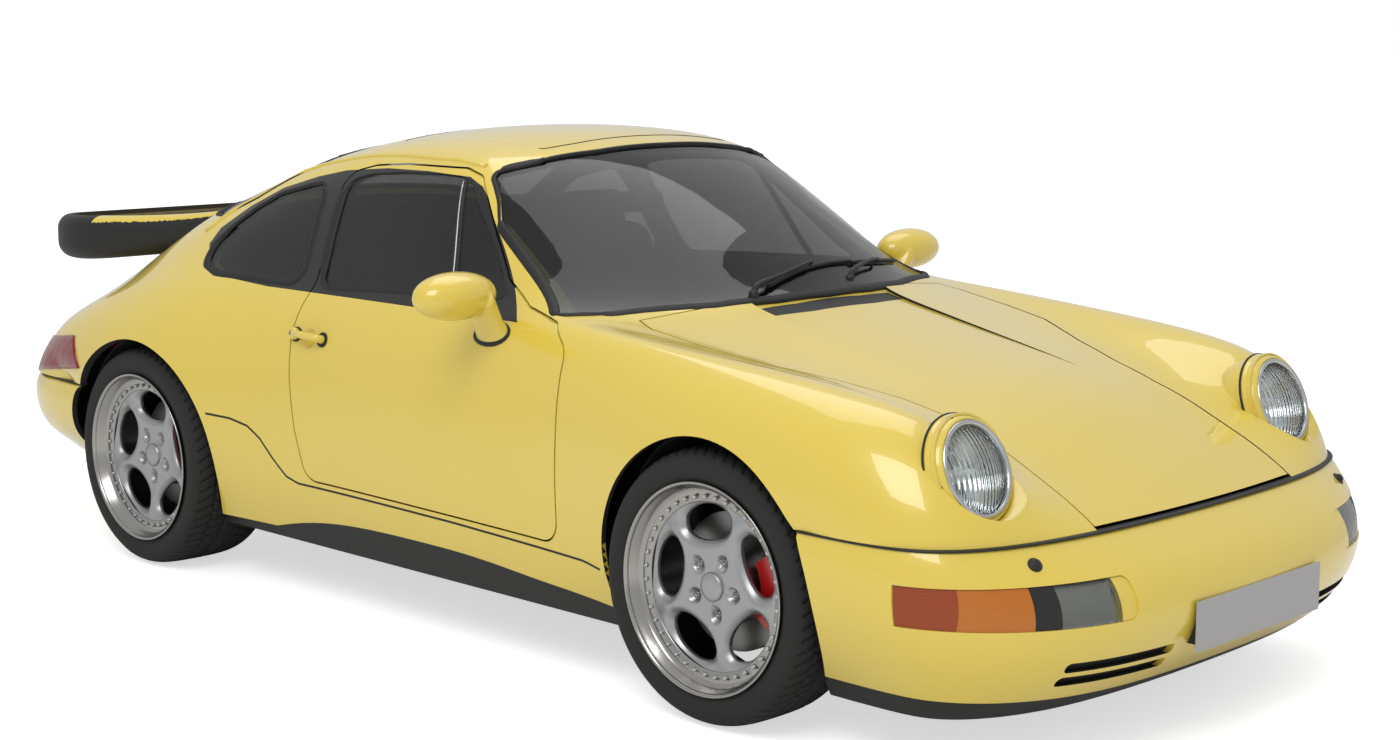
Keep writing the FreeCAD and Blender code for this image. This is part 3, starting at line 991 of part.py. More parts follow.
def caliper_shape(turn):
    """Brake caliper astride the disc, at an angle about the axle."""
    outer, inner = DISC_RADIUS + CALIPER_PROUD, DISC_RADIUS - CALIPER_DEPTH
    half = 38.0
    middle = DISC_OFFSET + DISC_WALL / 2
    blank = revolved_y([(inner, middle - half), (outer, middle - half), (outer, middle + half),
                        (inner, middle + half)], Vector())
    slot = revolved_y([(0, DISC_OFFSET - SHUT_GAP), (DISC_RADIUS + SHUT_GAP, DISC_OFFSET - SHUT_GAP),
                       (DISC_RADIUS + SHUT_GAP, DISC_OFFSET + DISC_WALL + SHUT_GAP),
                       (0, DISC_OFFSET + DISC_WALL + SHUT_GAP)], Vector())
    spread = math.radians(34.0)
    reach = outer * 2
    wedge = Part.Face(Part.makePolygon([Vector(), Vector(reach * math.sin(-spread), -0, reach * math.cos(spread)),
                                        Vector(reach * math.sin(spread), 0, reach * math.cos(spread)), Vector()]))
    wedge = wedge.translated(Vector(0, -WIDTH, 0)).extrude(Vector(0, 2 * WIDTH, 0))
    block = main_solid(blank.cut(slot).common(wedge))
    block.rotate(Vector(), Vector(0, 1, 0), math.degrees(turn))
    return block


front_place = Vector(FRONT_AXLE_X, FRONT_TRACK / 2, FRONT_TYRE_RADIUS)
rear_place = Vector(REAR_AXLE_X, REAR_TRACK / 2, REAR_TYRE_RADIUS)
for axle, place, rim_width, tyre_width, tyre_radius, turn in (
        ("front", front_place, FRONT_RIM_WIDTH, FRONT_TYRE_WIDTH, FRONT_TYRE_RADIUS, math.radians(90)),
        ("rear", rear_place, REAR_RIM_WIDTH, REAR_TYRE_WIDTH, REAR_TYRE_RADIUS, math.radians(90))):
    shapes = {"rim": rim_shape(rim_width), "tyre": tyre_shape(tyre_width, tyre_radius, rim_width),
              "brake_disc": disc_shape(), "caliper": caliper_shape(turn)}
    for kind, shape in shapes.items():
        placed = shape.translated(place)
        if (axle, kind) == ("rear", "caliper"):
            parts["rear_calipers"] = both_sides(placed)
            continue
        parts["%s_%s_left" % (axle, kind)] = placed
        parts["%s_%s_right" % (axle, kind)] = mirror_y(placed)

# Inside: floor, luggage tub, wheel housings, bulkheads
FLOOR_Z, TUNNEL_HALF, TUNNEL_HEIGHT = 196.0, 110.0, 130.0
FLOOR_SPAN_SHARES = (-0.2165, 0.1835)
TUB_SHARES = (0.19, 0.438, 0.242, 0.235)
HOUSING_FRONT_IN, HOUSING_REAR_IN = 437.0, 588.0
HOUSING_OUT_SHARE, HOUSING_FOOT_SHARE = 0.462, 0.255
SHELF_SHARES = (-0.285, 0.66)
floor_x0, floor_x1 = FLOOR_SPAN_SHARES[0] * LENGTH, FLOOR_SPAN_SHARES[1] * LENGTH
floor_half = 0.39 * WIDTH
low_skin = skin.BoundBox.ZMin


def housing(centre_x, centre_z, inner_y):
    """Wheel housing: a half drum over the wheel with a wall on its inner side."""
    drum = cylinder_y(ARCH_RADIUS + PLATE_WALL, centre_x, centre_z, inner_y - PLATE_WALL,
                      HOUSING_OUT_SHARE * WIDTH)
    bore = cylinder_y(ARCH_RADIUS, centre_x, centre_z, inner_y, WIDTH)
    drum = drum.cut(bore).cut(box(-LENGTH, LENGTH, 0, WIDTH, 0, HOUSING_FOOT_SHARE * HEIGHT))
    return main_solid(drum.cut(skin))


SHAFT_RADIUS, SHAFT_BORE = 14.0, 16.0
front_housing = housing(FRONT_AXLE_X, FRONT_TYRE_RADIUS, HOUSING_FRONT_IN)
rear_housing = housing(REAR_AXLE_X, REAR_TYRE_RADIUS, HOUSING_REAR_IN)
rear_housing = main_solid(rear_housing.cut(cylinder_y(SHAFT_RADIUS + 2 * SHUT_GAP, REAR_AXLE_X,
                                                      REAR_TYRE_RADIUS, 0, WIDTH)))
tub_x0, tub_x1 = floor_x1, TUB_SHARES[1] * LENGTH
tub_half, tub_z = HOUSING_FRONT_IN - PLATE_WALL, TUB_SHARES[3] * HEIGHT
tub = box(tub_x0, tub_x1, -tub_half, tub_half, tub_z, HEIGHT)
tub = tub.cut(box(tub_x0 + PLATE_WALL, tub_x1 - PLATE_WALL, PLATE_WALL - tub_half,
                  tub_half - PLATE_WALL, tub_z + PLATE_WALL, HEIGHT))
tub = main_solid(tub.cut(clear_skin).cut(box(-LENGTH, LENGTH, -WIDTH, WIDTH, 0.62 * HEIGHT, HEIGHT)))
front_panels = tub.fuse([front_housing, mirror_y(front_housing)])

floor = box(floor_x0, floor_x1, -floor_half, floor_half, FLOOR_Z, FLOOR_Z + PLATE_WALL)
tunnel = box(floor_x0, floor_x1, -TUNNEL_HALF, TUNNEL_HALF, FLOOR_Z, FLOOR_Z + TUNNEL_HEIGHT)
tunnel = tunnel.cut(box(floor_x0, floor_x1, PLATE_WALL - TUNNEL_HALF, TUNNEL_HALF - PLATE_WALL,
                        FLOOR_Z, FLOOR_Z + TUNNEL_HEIGHT - PLATE_WALL))
scuttle = box(floor_x1 - PLATE_WALL, floor_x1, -floor_half, floor_half, FLOOR_Z, 0.62 * HEIGHT)
rear_wall = box(floor_x0, floor_x0 + PLATE_WALL, -floor_half, floor_half, FLOOR_Z,
                SHELF_SHARES[1] * HEIGHT)
shelf = box(SHELF_SHARES[0] * LENGTH, floor_x0 + PLATE_WALL, -floor_half, floor_half,
            SHELF_SHARES[1] * HEIGHT, SHELF_SHARES[1] * HEIGHT + PLATE_WALL)
floor = floor.cut(box(floor_x0, floor_x1, PLATE_WALL - TUNNEL_HALF, TUNNEL_HALF - PLATE_WALL, 0, HEIGHT))
floor = floor.fuse([tunnel, scuttle, rear_wall, shelf])
floor = floor.cut([skin, front_housing, mirror_y(front_housing), rear_housing, mirror_y(rear_housing)])
for place in (FRONT_AXLE_X, REAR_AXLE_X):
    floor = floor.cut(cylinder_y(ARCH_RADIUS, place, FRONT_TYRE_RADIUS, HOUSING_FRONT_IN, WIDTH))
    floor = floor.cut(cylinder_y(ARCH_RADIUS, place, FRONT_TYRE_RADIUS, -WIDTH, -HOUSING_FRONT_IN))
JACK_SHARES, JACK_HALF, JACK_DROP = (0.1294, 0.324), (45.0, 30.0), 14.0
pads = []
for sense_x in (1, -1):
    for sense_y in (1, -1):
        x, y = sense_x * JACK_SHARES[0] * LENGTH, sense_y * JACK_SHARES[1] * WIDTH
        pads.append(box(x - JACK_HALF[0], x + JACK_HALF[0], y - JACK_HALF[1], y + JACK_HALF[1],
                        FLOOR_Z - JACK_DROP, FLOOR_Z + PLATE_WALL))
parts["floor_pan"] = main_solid(main_solid(floor).fuse(pads))
parts["inner_panels"] = Part.Compound(front_panels.Solids + [rear_housing, mirror_y(rear_housing)])

# Engine and gearbox as one plain block, and the exhaust box
ENGINE_SHARES = (-0.424, -0.28, 0.165, 0.2, 0.47)
GEARBOX_SHARES = (0.085, 0.18, 0.34)
engine = box(ENGINE_SHARES[0] * LENGTH, ENGINE_SHARES[1] * LENGTH, -ENGINE_SHARES[2] * WIDTH,
             ENGINE_SHARES[2] * WIDTH, ENGINE_SHARES[3] * HEIGHT, ENGINE_SHARES[4] * HEIGHT)
gearbox_half = GEARBOX_SHARES[0] * WIDTH
gearbox = box(ENGINE_SHARES[1] * LENGTH, floor_x0 - FIT_GAP, -gearbox_half, gearbox_half,
              GEARBOX_SHARES[1] * HEIGHT, GEARBOX_SHARES[2] * HEIGHT)
parts["engine_block"] = engine.fuse(gearbox)

# Seats
SEAT_SHARES = [
    (0.0188, 0.202), (0.0212, 0.306), (0.0094, 0.333), (-0.0541, 0.310), (-0.0776, 0.543),
    (-0.0918, 0.760), (-0.1035, 0.822), (-0.1153, 0.814), (-0.1106, 0.744), (-0.0988, 0.496),
    (-0.0847, 0.233), (-0.0706, 0.157), (0.0094, 0.157),
]
SEAT_HALF, SEAT_PLACE, SEAT_CORNER = 230.0, 342.0, 40.0
REAR_SEAT_SHARES = [
    (-0.1318, 0.157), (-0.1341, 0.333), (-0.1788, 0.310), (-0.1976, 0.535), (-0.2071, 0.543),
    (-0.2149, 0.512), (-0.2149, 0.157),
]
REAR_SEAT_HALF = 215.0
seat = prism(rounded_wire(side(SEAT_SHARES), SEAT_CORNER), Vector(0, SEAT_PLACE - SEAT_HALF, 0),
             Vector(0, 2 * SEAT_HALF, 0))
rear_seat = prism(rounded_wire(side(REAR_SEAT_SHARES), SEAT_CORNER / 2),
                  Vector(0, SEAT_PLACE - REAR_SEAT_HALF, 0), Vector(0, 2 * REAR_SEAT_HALF, 0))
parts["seats"] = Part.Compound([seat, mirror_y(seat), rear_seat, mirror_y(rear_seat)])

# Dashboard, steering column and wheel
DASH_SHARES = [
    (0.0941, 0.496), (0.0929, 0.566), (0.1035, 0.620), (0.1224, 0.650), (0.1506, 0.659),
    (0.1820, 0.659), (0.1820, 0.496),
]
dash = prism(rounded_wire(side(DASH_SHARES), WINDOW_CORNER / 2), Vector(0, -floor_half, 0),
             Vector(0, 2 * floor_half, 0))
dash = main_solid(dash.cut(clear_skin))
WHEEL_PLACE_SHARES = (0.067, 0.2, 0.575)
WHEEL_TILT, WHEEL_RADIUS, WHEEL_GRIP, BOSS_RADIUS, BOSS_DEPTH = 24.0, 184.0, 14.0, 70.0, 40.0
COLUMN_RADIUS, COLUMN_LENGTH, STUB_RADIUS = 30.0, 160.0, 11.0
helm_centre = Vector(WHEEL_PLACE_SHARES[0] * LENGTH, WHEEL_PLACE_SHARES[1] * WIDTH,
                     WHEEL_PLACE_SHARES[2] * HEIGHT)
helm_axis = Vector(-math.cos(math.radians(WHEEL_TILT)), 0, math.sin(math.radians(WHEEL_TILT)))
helm = Part.makeTorus(WHEEL_RADIUS, WHEEL_GRIP)
spokes = [box(0, WHEEL_RADIUS, -WHEEL_GRIP, WHEEL_GRIP, -WHEEL_GRIP / 2 - 6.0, -6.0 + WHEEL_GRIP / 4)
          for k in range(4)]
for k, spoke in enumerate(spokes):
    spoke.rotate(Vector(), Vector(0, 0, 1), (20, 160, 232, 308)[k])
boss = Part.makeCylinder(BOSS_RADIUS, BOSS_DEPTH, Vector(0, 0, -BOSS_DEPTH))
stub = Part.makeCylinder(STUB_RADIUS, BOSS_DEPTH, Vector(0, 0, -2 * BOSS_DEPTH))
helm = helm.fuse(spokes + [boss, stub])
helm.Placement = FreeCAD.Placement(helm_centre, FreeCAD.Rotation(
    Vector(0, 1, 0), Vector(0, 0, 1).cross(Vector(0, 1, 0)), helm_axis, "ZYX"))
parts["steering_wheel"] = main_solid(helm)
column_top = helm_centre - helm_axis * (BOSS_DEPTH + SHUT_GAP)
column = Part.makeCylinder(COLUMN_RADIUS, COLUMN_LENGTH, column_top, helm_axis * -1)
column = column.cut(Part.makeCylinder(STUB_RADIUS + FIT_GAP, BOSS_DEPTH, column_top, helm_axis * -1))
dash = dash.cut(Part.makeCylinder(COLUMN_RADIUS, COLUMN_LENGTH, column_top, helm_axis * -1))
parts["steering_column"] = column
parts["dashboard"] = main_solid(dash)

# Knuckles, arms and struts
KNUCKLE_HALF, KNUCKLE_REACH, KNUCKLE_WALL = 32.0, 118.0, 30.0
STRUT_PLACE, STRUT_RADIUS = 532.0, 24.0
ARM_WALL, ARM_HALF, ARM_INNER, ARM_SPREAD = 18.0, 18.0, 330.0, 70.0


def knuckle_shape(place, bore):
    """Upright with the hollow spindle that carries the wheel and an ear for the caliper."""
    plate_y = DISC_OFFSET - SHUT_GAP - KNUCKLE_SHOULDER
    drop = place.z - FLOOR_Z - FIT_GAP
    plate = box(-KNUCKLE_HALF, KNUCKLE_HALF, plate_y - KNUCKLE_WALL, plate_y, -drop, KNUCKLE_REACH)
    ear_end = math.sqrt((DISC_RADIUS - CALIPER_DEPTH) ** 2 - KNUCKLE_HALF ** 2) - FIT_GAP
    ear = box(0, ear_end, plate_y - KNUCKLE_WALL, plate_y - KNUCKLE_SHOULDER, -KNUCKLE_HALF,
              KNUCKLE_HALF)
    spindle = Part.makeCylinder(SPINDLE_RADIUS, MOUNT_OFFSET - plate_y - SPINDLE_SHORT,
                                Vector(0, plate_y, 0), Vector(0, 1, 0))
    hole = cylinder_y(bore, 0, 0, -WIDTH, WIDTH)
    return plate.fuse([ear, spindle]).cut(hole).translated(place)


KNUCKLE_SHOULDER, SPINDLE_SHORT = 6.0, 2.0
front_knuckle = knuckle_shape(front_place, SHAFT_BORE)
rear_knuckle = knuckle_shape(rear_place, SHAFT_BORE)
parts["front_knuckle_left"] = front_knuckle
parts["front_knuckle_right"] = mirror_y(front_knuckle)
parts["rear_knuckles"] = both_sides(rear_knuckle)
plate_in = DISC_OFFSET - SHUT_GAP - KNUCKLE_SHOULDER - KNUCKLE_WALL
arm_z = FLOOR_Z - ARM_WALL
ball_y = FRONT_TRACK / 2 + plate_in + KNUCKLE_WALL - 2 * SHUT_GAP
fork_y = ball_y - 3 * ARM_HALF
arm_plan = [(-ARM_HALF, ball_y), (ARM_HALF, ball_y), (ARM_SPREAD + ARM_HALF, ARM_INNER),
            (ARM_SPREAD - ARM_HALF, ARM_INNER), (0, fork_y), (ARM_HALF - ARM_SPREAD, ARM_INNER),
            (-ARM_SPREAD - ARM_HALF, ARM_INNER)]
arm_points = [Vector(FRONT_AXLE_X + x, y, 0) for x, y in arm_plan]
arm = prism(Part.makePolygon(arm_points + arm_points[:1]), Vector(0, 0, arm_z),
            Vector(0, 0, ARM_WALL))
strut_top = FRONT_TYRE_RADIUS + ARCH_RADIUS - PANEL_GAP - FIT_GAP
strut = Part.makeCylinder(STRUT_RADIUS, strut_top - FLOOR_Z, Vector(FRONT_AXLE_X, STRUT_PLACE, FLOOR_Z))
frame_reach = ARM_SPREAD + 2 * ARM_HALF
subframe = box(FRONT_AXLE_X - frame_reach, FRONT_AXLE_X + frame_reach, -ARM_INNER, ARM_INNER,
               arm_z, tub_z)
front_frame = subframe.fuse([arm, strut, mirror_y(arm), mirror_y(strut)])

CROSS_TUBE, CROSS_HALF_SHARE = 46.0, 0.3
cross_half = CROSS_HALF_SHARE * WIDTH
cross = box(floor_x0, floor_x0 + CROSS_TUBE, -cross_half, cross_half, FLOOR_Z - CROSS_TUBE, FLOOR_Z)
hub_in = REAR_TRACK / 2 + plate_in
trail_plan = [(REAR_AXLE_X - ARM_HALF, hub_in), (REAR_AXLE_X - ARM_HALF, hub_in + KNUCKLE_WALL),
              (REAR_AXLE_X + ARM_HALF, hub_in + KNUCKLE_WALL), (floor_x0 + ARM_HALF, cross_half),
              (floor_x0 + ARM_HALF, cross_half - ARM_SPREAD)]
trail_points = [Vector(x, y, 0) for x, y in trail_plan]
trail = prism(Part.makePolygon(trail_points + trail_points[:1]), Vector(0, 0, arm_z),
              Vector(0, 0, ARM_WALL))
parts["suspension"] = Part.Compound(front_frame.Solids + cross.fuse([trail, mirror_y(trail)]).Solids)

# Half shafts turn with the rear wheels
half_shaft = cylinder_y(SHAFT_RADIUS, REAR_AXLE_X, REAR_TYRE_RADIUS, gearbox_half + SHUT_GAP,
                        REAR_TRACK / 2 + MOUNT_OFFSET)
parts["half_shaft_left"] = half_shaft
parts["half_shaft_right"] = mirror_y(half_shaft)

os.makedirs("parts", exist_ok=True)
for name, shape in parts.items():
    shape.exportStep("parts/%s.step" % name)
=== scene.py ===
"""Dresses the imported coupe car: paint, glass, rubber, tread, lamps and seats."""
import math

import bmesh
import bpy
import numpy as np
from mathutils import Matrix, Vector
from mathutils.bvhtree import BVHTree


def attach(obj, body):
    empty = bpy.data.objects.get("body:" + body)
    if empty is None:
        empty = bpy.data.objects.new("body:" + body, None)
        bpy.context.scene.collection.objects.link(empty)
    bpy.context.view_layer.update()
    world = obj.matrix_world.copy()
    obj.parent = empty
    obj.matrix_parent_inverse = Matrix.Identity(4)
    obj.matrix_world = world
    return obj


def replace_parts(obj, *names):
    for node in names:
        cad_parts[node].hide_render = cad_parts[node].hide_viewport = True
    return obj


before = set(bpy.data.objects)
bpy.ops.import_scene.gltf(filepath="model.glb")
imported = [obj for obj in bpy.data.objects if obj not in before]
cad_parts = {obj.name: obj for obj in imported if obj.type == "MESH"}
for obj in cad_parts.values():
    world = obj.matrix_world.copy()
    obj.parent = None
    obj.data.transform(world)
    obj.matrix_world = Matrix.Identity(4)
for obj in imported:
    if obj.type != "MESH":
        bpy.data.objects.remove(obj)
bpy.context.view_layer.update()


# Body paint
# The real panels are pressed steel in a pastel yellow two-layer paint. Each panel is a CAD
# node already, so this section only gives the panels their finish.
def linear(hex_text):
    """sRGB hex to linear colour: c / 12.92 up to 0.04045, else ((c + 0.055) / 1.055) ** 2.4."""
    c = np.array([int(hex_text[i:i + 2], 16) for i in (1, 3, 5)]) / 255
    return (*np.where(c <= 0.04045, c / 12.92, ((c + 0.055) / 1.055) ** 2.4), 1.0)


def add_node(tree, kind, settings=None, links=()):
    """Adds a node with its settings. Links are pairs of (output socket or plain value, input)."""
    made = tree.nodes.new("ShaderNode" + kind)
    for key, value in (settings or {}).items():
        if key in made.inputs:
            made.inputs[key].default_value = value
        else:
            setattr(made, key, value)
    for source, key in links:
        if isinstance(source, bpy.types.NodeSocket):
            tree.links.new(source, made.inputs[key])
        else:
            made.inputs[key].default_value = source
    return made


def finish(name, colour, roughness, metallic=0.0, **sockets):
    """A Principled finish from a sRGB hex colour and plain socket values."""
    material = bpy.data.materials.new(name)
    material.use_nodes = True
    shader = material.node_tree.nodes["Principled BSDF"]
    values = {"Base Color": linear(colour), "Roughness": roughness, "Metallic": metallic}
    values.update({key.replace("_", " "): value for key, value in sockets.items()})
    for key, value in values.items():
        shader.inputs[key].default_value = value
    return material


def dress(material, *words):
    """Gives one material to every CAD node whose name holds one of the words."""
    for name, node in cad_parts.items():
        if any(word in name for word in words):
            node.data.materials.clear()
            node.data.materials.append(material)
            count = len(node.data.polygons)
            node.data.polygons.foreach_set("material_index", np.zeros(count, np.int32))


# Pastel yellow two-layer enamel, sprayed and polished: even colour under a hard clear gloss.
YELLOW, BLACK, SECOND_COAT = "#E2C74B", "#080808", 0.2
PAINT = {"Coat_Weight": 1.0, "Coat_Roughness": 0.03}
yellow_enamel = finish("pastel_yellow_enamel", YELLOW, 0.32, **PAINT)
dress(yellow_enamel, "front_fenders", "front_lid", "engine_lid", "sunroof_panel", "fuel_flap",
      "front_bumper", "rear_bumper", "spoiler")
# The same enamel, with the frames round the side windows sprayed black. The outline holds
# (x, z) corners round the whole row of side windows, against the clock.
FRAME_OUTLINE = [(0.475, 0.845), (0.141, 1.153), (0.081, 1.176), (-0.09, 1.184), (-0.27, 1.184),
                 (-0.46, 1.17), (-0.59, 1.147), (-0.746, 1.108), (-0.87, 1.05), (-0.96, 0.985),
                 (-0.968, 0.94), (-0.9, 0.89), (-0.8, 0.862), (-0.59, 0.85), (-0.33, 0.848)]


def two_colours(material, value, limit, colour):
    """Gives a material a second colour with less coat where a value lies above a limit."""
    tree = material.node_tree
    shader = tree.nodes["Principled BSDF"]
    coat = shader.inputs["Coat Weight"].default_value
    above = add_node(tree, "Math", {"operation": "GREATER_THAN"},
                     [(value, 0), (limit, 1)]).outputs[0]
    mix = add_node(tree, "Mix", {"data_type": "RGBA"}, [
        (above, "Factor"), (shader.inputs["Base Color"].default_value, 6), (linear(colour), 7)])
    tree.links.new(mix.outputs[2], shader.inputs["Base Color"])
    duller = add_node(tree, "Math", {"operation": "MULTIPLY_ADD"},
                      [(above, 0), ((SECOND_COAT - 1) * coat, 1), (coat, 2)])
    tree.links.new(duller.outputs[0], shader.inputs["Coat Weight"])


def within(material, outline, colour):
    """Second colour inside a convex outline: the least of (p - a) . n over its edges is above 0."""
    tree = material.node_tree
    place = add_node(tree, "TexCoord").outputs["Object"]
    least = None
    for (x, z), (next_x, next_z) in zip(outline, outline[1:] + outline[:1]):
        inward = Vector((z - next_z, 0, next_x - x)).normalized()
        lean = add_node(tree, "VectorMath", {"operation": "DOT_PRODUCT"},
                        [(place, 0), (inward, 1)])
        far = add_node(tree, "Math", {"operation": "SUBTRACT"},
                       [(lean.outputs["Value"], 0), (inward.dot((x, 0, z)), 1)]).outputs[0]
        least = far if least is None else add_node(
            tree, "Math", {"operation": "MINIMUM"}, [(least, 0), (far, 1)]).outputs[0]
    two_colours(material, least, 0.0, colour)
    return material


framed_enamel = finish("pastel_yellow_enamel_with_black_frames", YELLOW, 0.32, **PAINT)
dress(within(framed_enamel, FRAME_OUTLINE, BLACK), "body_shell", "door_left", "door_right")

# Black sealer on what lies behind the panels: sprayed and matt.
black_sealer = finish("black_underseal", "#1B1B1B", 0.85)
dress(black_sealer, "inner_panels", "floor_pan")

# Moulded satin black plastic and rubber of the bumper strips, lip and dashboard.
satin_black = finish("moulded_black_plastic", "#1A1A1A", 0.55)
dress(satin_black, "bumper_strips", "lower_trims", "dashboard", "steering_column", "spoiler_lip",
      "bumper_inserts", "lid_vent")

# Machined cast iron of the brake discs: bright grey, softly lined.
cast_iron = finish("machined_cast_iron", "#8A8A88", 0.38, 1.0)
dress(cast_iron, "brake_disc")
# Sand-cast aluminium of the engine and hubs: dull and pale. Black enamelled steel: satin.
cast_alloy = finish("cast_aluminium", "#8C8E90", 0.55, 1.0)
dress(cast_alloy, "engine_block", "knuckle")
black_steel = finish("enamelled_black_steel", "#161616", 0.5)
dress(black_steel, "suspension", "half_shaft", "hinge_pins")
# Brushed stainless pipes: a broad bright sheen. Red stoved enamel of the calipers: glossy.
dress(finish("brushed_exhaust_steel", "#A7A6A2", 0.35, 1.0), "exhaust")
red_enamel = finish("red_brake_enamel", "#B3161B", 0.35, Coat_Weight=0.6)
dress(red_enamel, "caliper")


# Inside faces of the panels
# The cabin side of the doors, roof and pillars is lined with dull black leathercloth. The
# same CAD panels get the lining on the faces that look towards the cabin.
SPINE_REAR, SPINE_FRONT = (-1.4, 0, 0.3), (1.3, 0, 0.3)
black_lining = finish("black_leathercloth", "#232323", 0.8)


def face_table(name):
    """Middles and directions of a CAD node's faces, as two arrays."""
    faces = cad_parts[name].data.polygons
    centres, normals = np.zeros((2, len(faces) * 3))
    faces.foreach_get("center", centres)
    faces.foreach_get("normal", normals)
    return centres.reshape(-1, 3), normals.reshape(-1, 3)


def looks_in(name):
    """Which faces look towards the car's spine: (c - s) . n < 0, with s its nearest point."""
    centres, normals = face_table(name)
    return ((centres - np.clip(centres, SPINE_REAR, SPINE_FRONT)) * normals).sum(1) < 0


def second_finish(name, material, chosen):
    """Gives the chosen faces of a CAD node a second material."""
    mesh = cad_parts[name].data
    mesh.materials.append(material)
    mesh.polygons.foreach_set("material_index", chosen.astype(np.int32))


for name in ("body_shell", "door_left", "door_right", "sunroof_panel"):
    second_finish(name, black_lining, looks_in(name))
for name in ("front_lid", "engine_lid", "rear_bumper", "front_bumper"):
    second_finish(name, black_sealer, looks_in(name))

# The walls of the headlamps' tubes keep the wings' yellow.
LAMP_CENTRE, LAMP_TILT, TUBE_RADIUS = np.array([1.8, 0.622, 0.643]), math.radians(20.6), 0.13
lamp_axis = np.array([math.cos(LAMP_TILT), 0, math.sin(LAMP_TILT)])
away = face_table("front_fenders")[0]
away[:, 1] = np.abs(away[:, 1])
in_tube = np.linalg.norm(np.cross(away - LAMP_CENTRE, lamp_axis), axis=1) < TUBE_RADIUS
second_finish("front_fenders", black_sealer, looks_in("front_fenders") & ~in_tube)

# The tail's rim is bound in black rubber: every face of the spoiler that isn't its top.
TOP_LEAN = 0.55
second_finish("spoiler", satin_black, face_table("spoiler")[1][:, 2] < TOP_LEAN)

# Window glass
# Panes of toughened float glass, bedded in rubber. They are CAD nodes. The tint is a dark
# share of each pane, and the rest looks straight through under a clean reflection.
tinted_glass = finish("tinted_float_glass", "#0D120F", 0.02, Alpha=0.56, Coat_Weight=0.4,
                      Coat_Roughness=0.0)
dress(tinted_glass, "door_glass", "fixed_windows")


# Window seals
# Black rubber profiles grip the fixed panes, and black frames carry the door windows. Each
# is a profile carried along the edge of its pane.
def cells(rows, count, closed=True):
    """Four-cornered faces over rings of points. Where closed, the last ring joins the first."""
    i = np.arange(rows if closed else rows - 1)[:, None]
    j = np.arange(count)[None, :]
    here, ahead, beside = i * count, (i + 1) % rows * count, (j + 1) % count
    return np.stack([here + j, ahead + j, ahead + beside, here + beside], -1).reshape(-1, 4)


def circle(count):
    """Even angles round a full turn."""
    return np.linspace(0, 2 * math.pi, count, endpoint=False)


def unit(v):
    """Each vector over its own length."""
    return v / np.linalg.norm(v, axis=-1, keepdims=True)


POINT_MERGE, STAR_MERGE = 1e-6, 1e-4


def faces_mesh(name, points, faces, material, body, reach=POINT_MERGE):
    """Piece from an array of points and an array of faces. Points within reach of each other
    are merged, and every face is turned outwards."""
    mesh = bpy.data.meshes.new(name)
    mesh.from_pydata(points, [], faces, shade_flat=False)
    shape = bmesh.new()
    shape.from_mesh(mesh)
    bmesh.ops.remove_doubles(shape, verts=shape.verts, dist=reach)
    bmesh.ops.recalc_face_normals(shape, faces=shape.faces)
    shape.to_mesh(mesh)
    shape.free()
    mesh.materials.append(material)
    made = bpy.data.objects.new(name, mesh)
    bpy.context.scene.collection.objects.link(made)
    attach(made, body)
    return made


def hoop(name, grid, material, body="car_body"):
    """Piece over a grid of points (u, v, 3) that is closed both ways."""
    return faces_mesh(name, grid.reshape(-1, 3), cells(*grid.shape[:2]), material, body)


def many(name, grids, material, body="car_body"):
    """One piece from several grids whose rings are closed and whose ends are points."""
    starts = np.cumsum([0] + [len(grid) * grid.shape[1] for grid in grids])
    faces = [cells(*grid.shape[:2], False) + start for grid, start in zip(grids, starts)]
    points = np.vstack([grid.reshape(-1, 3) for grid in grids])
    return faces_mesh(name, points, np.vstack(faces), material, body)


MIDDLE_HEIGHT, PANE_LEAN, MERGE, LEAST_CORNERS = 0.55, 0.35, 1e-5, 8
EDGE_STEP, LEAST_STEPS = 0.012, 24


def pane_edges(name):
    """Closed edge lines of a pane's outer face, as (points, outward normals), evenly spaced."""
    shape = bmesh.new()
    shape.from_mesh(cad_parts[name].data)
    bmesh.ops.remove_doubles(shape, verts=shape.verts, dist=MERGE)
    shape.normal_update()

    def faces_out(face):
        middle = face.calc_center_median()
        outward = Vector((0, middle.y, middle.z - MIDDLE_HEIGHT)).normalized()
        return face.normal.dot(outward) > PANE_LEAN

    outer = {face.index for face in shape.faces if faces_out(face)}
    chains, normals = {}, {}
    for edge in shape.edges:
        sides = [face.index in outer for face in edge.link_faces]
        if len(sides) == 2 and sides[0] != sides[1]:
            out_face = edge.link_faces[0 if sides[0] else 1]
            for v, w in (edge.verts, reversed(edge.verts)):
                chains.setdefault(v.index, []).append(w.index)
                normals[v.index] = normals.get(v.index, Vector()) + out_face.normal
    places = {v.index: v.co.copy() for v in shape.verts}
    shape.free()
    loops, unused = [], set(chains)
    while unused:
        line, ahead = [], [min(unused)]
        while ahead:
            line.append(ahead[0])
            unused.discard(ahead[0])
            ahead = [n for n in chains[ahead[0]] if n in unused]
        if len(line) > LEAST_CORNERS:
            loops.append(even_line(np.array([places[k] for k in line]),
                                   np.array([normals[k] for k in line])))
    return loops


def distances(line):
    """How far along a line each of its points lies."""
    return np.r_[0, np.cumsum(np.linalg.norm(np.diff(line, axis=0), axis=1))]


def read_off(line, along, steps):
    """A line's columns at new distances along it, by linear interpolation."""
    return np.stack([np.interp(steps, along, column) for column in line.T], 1)


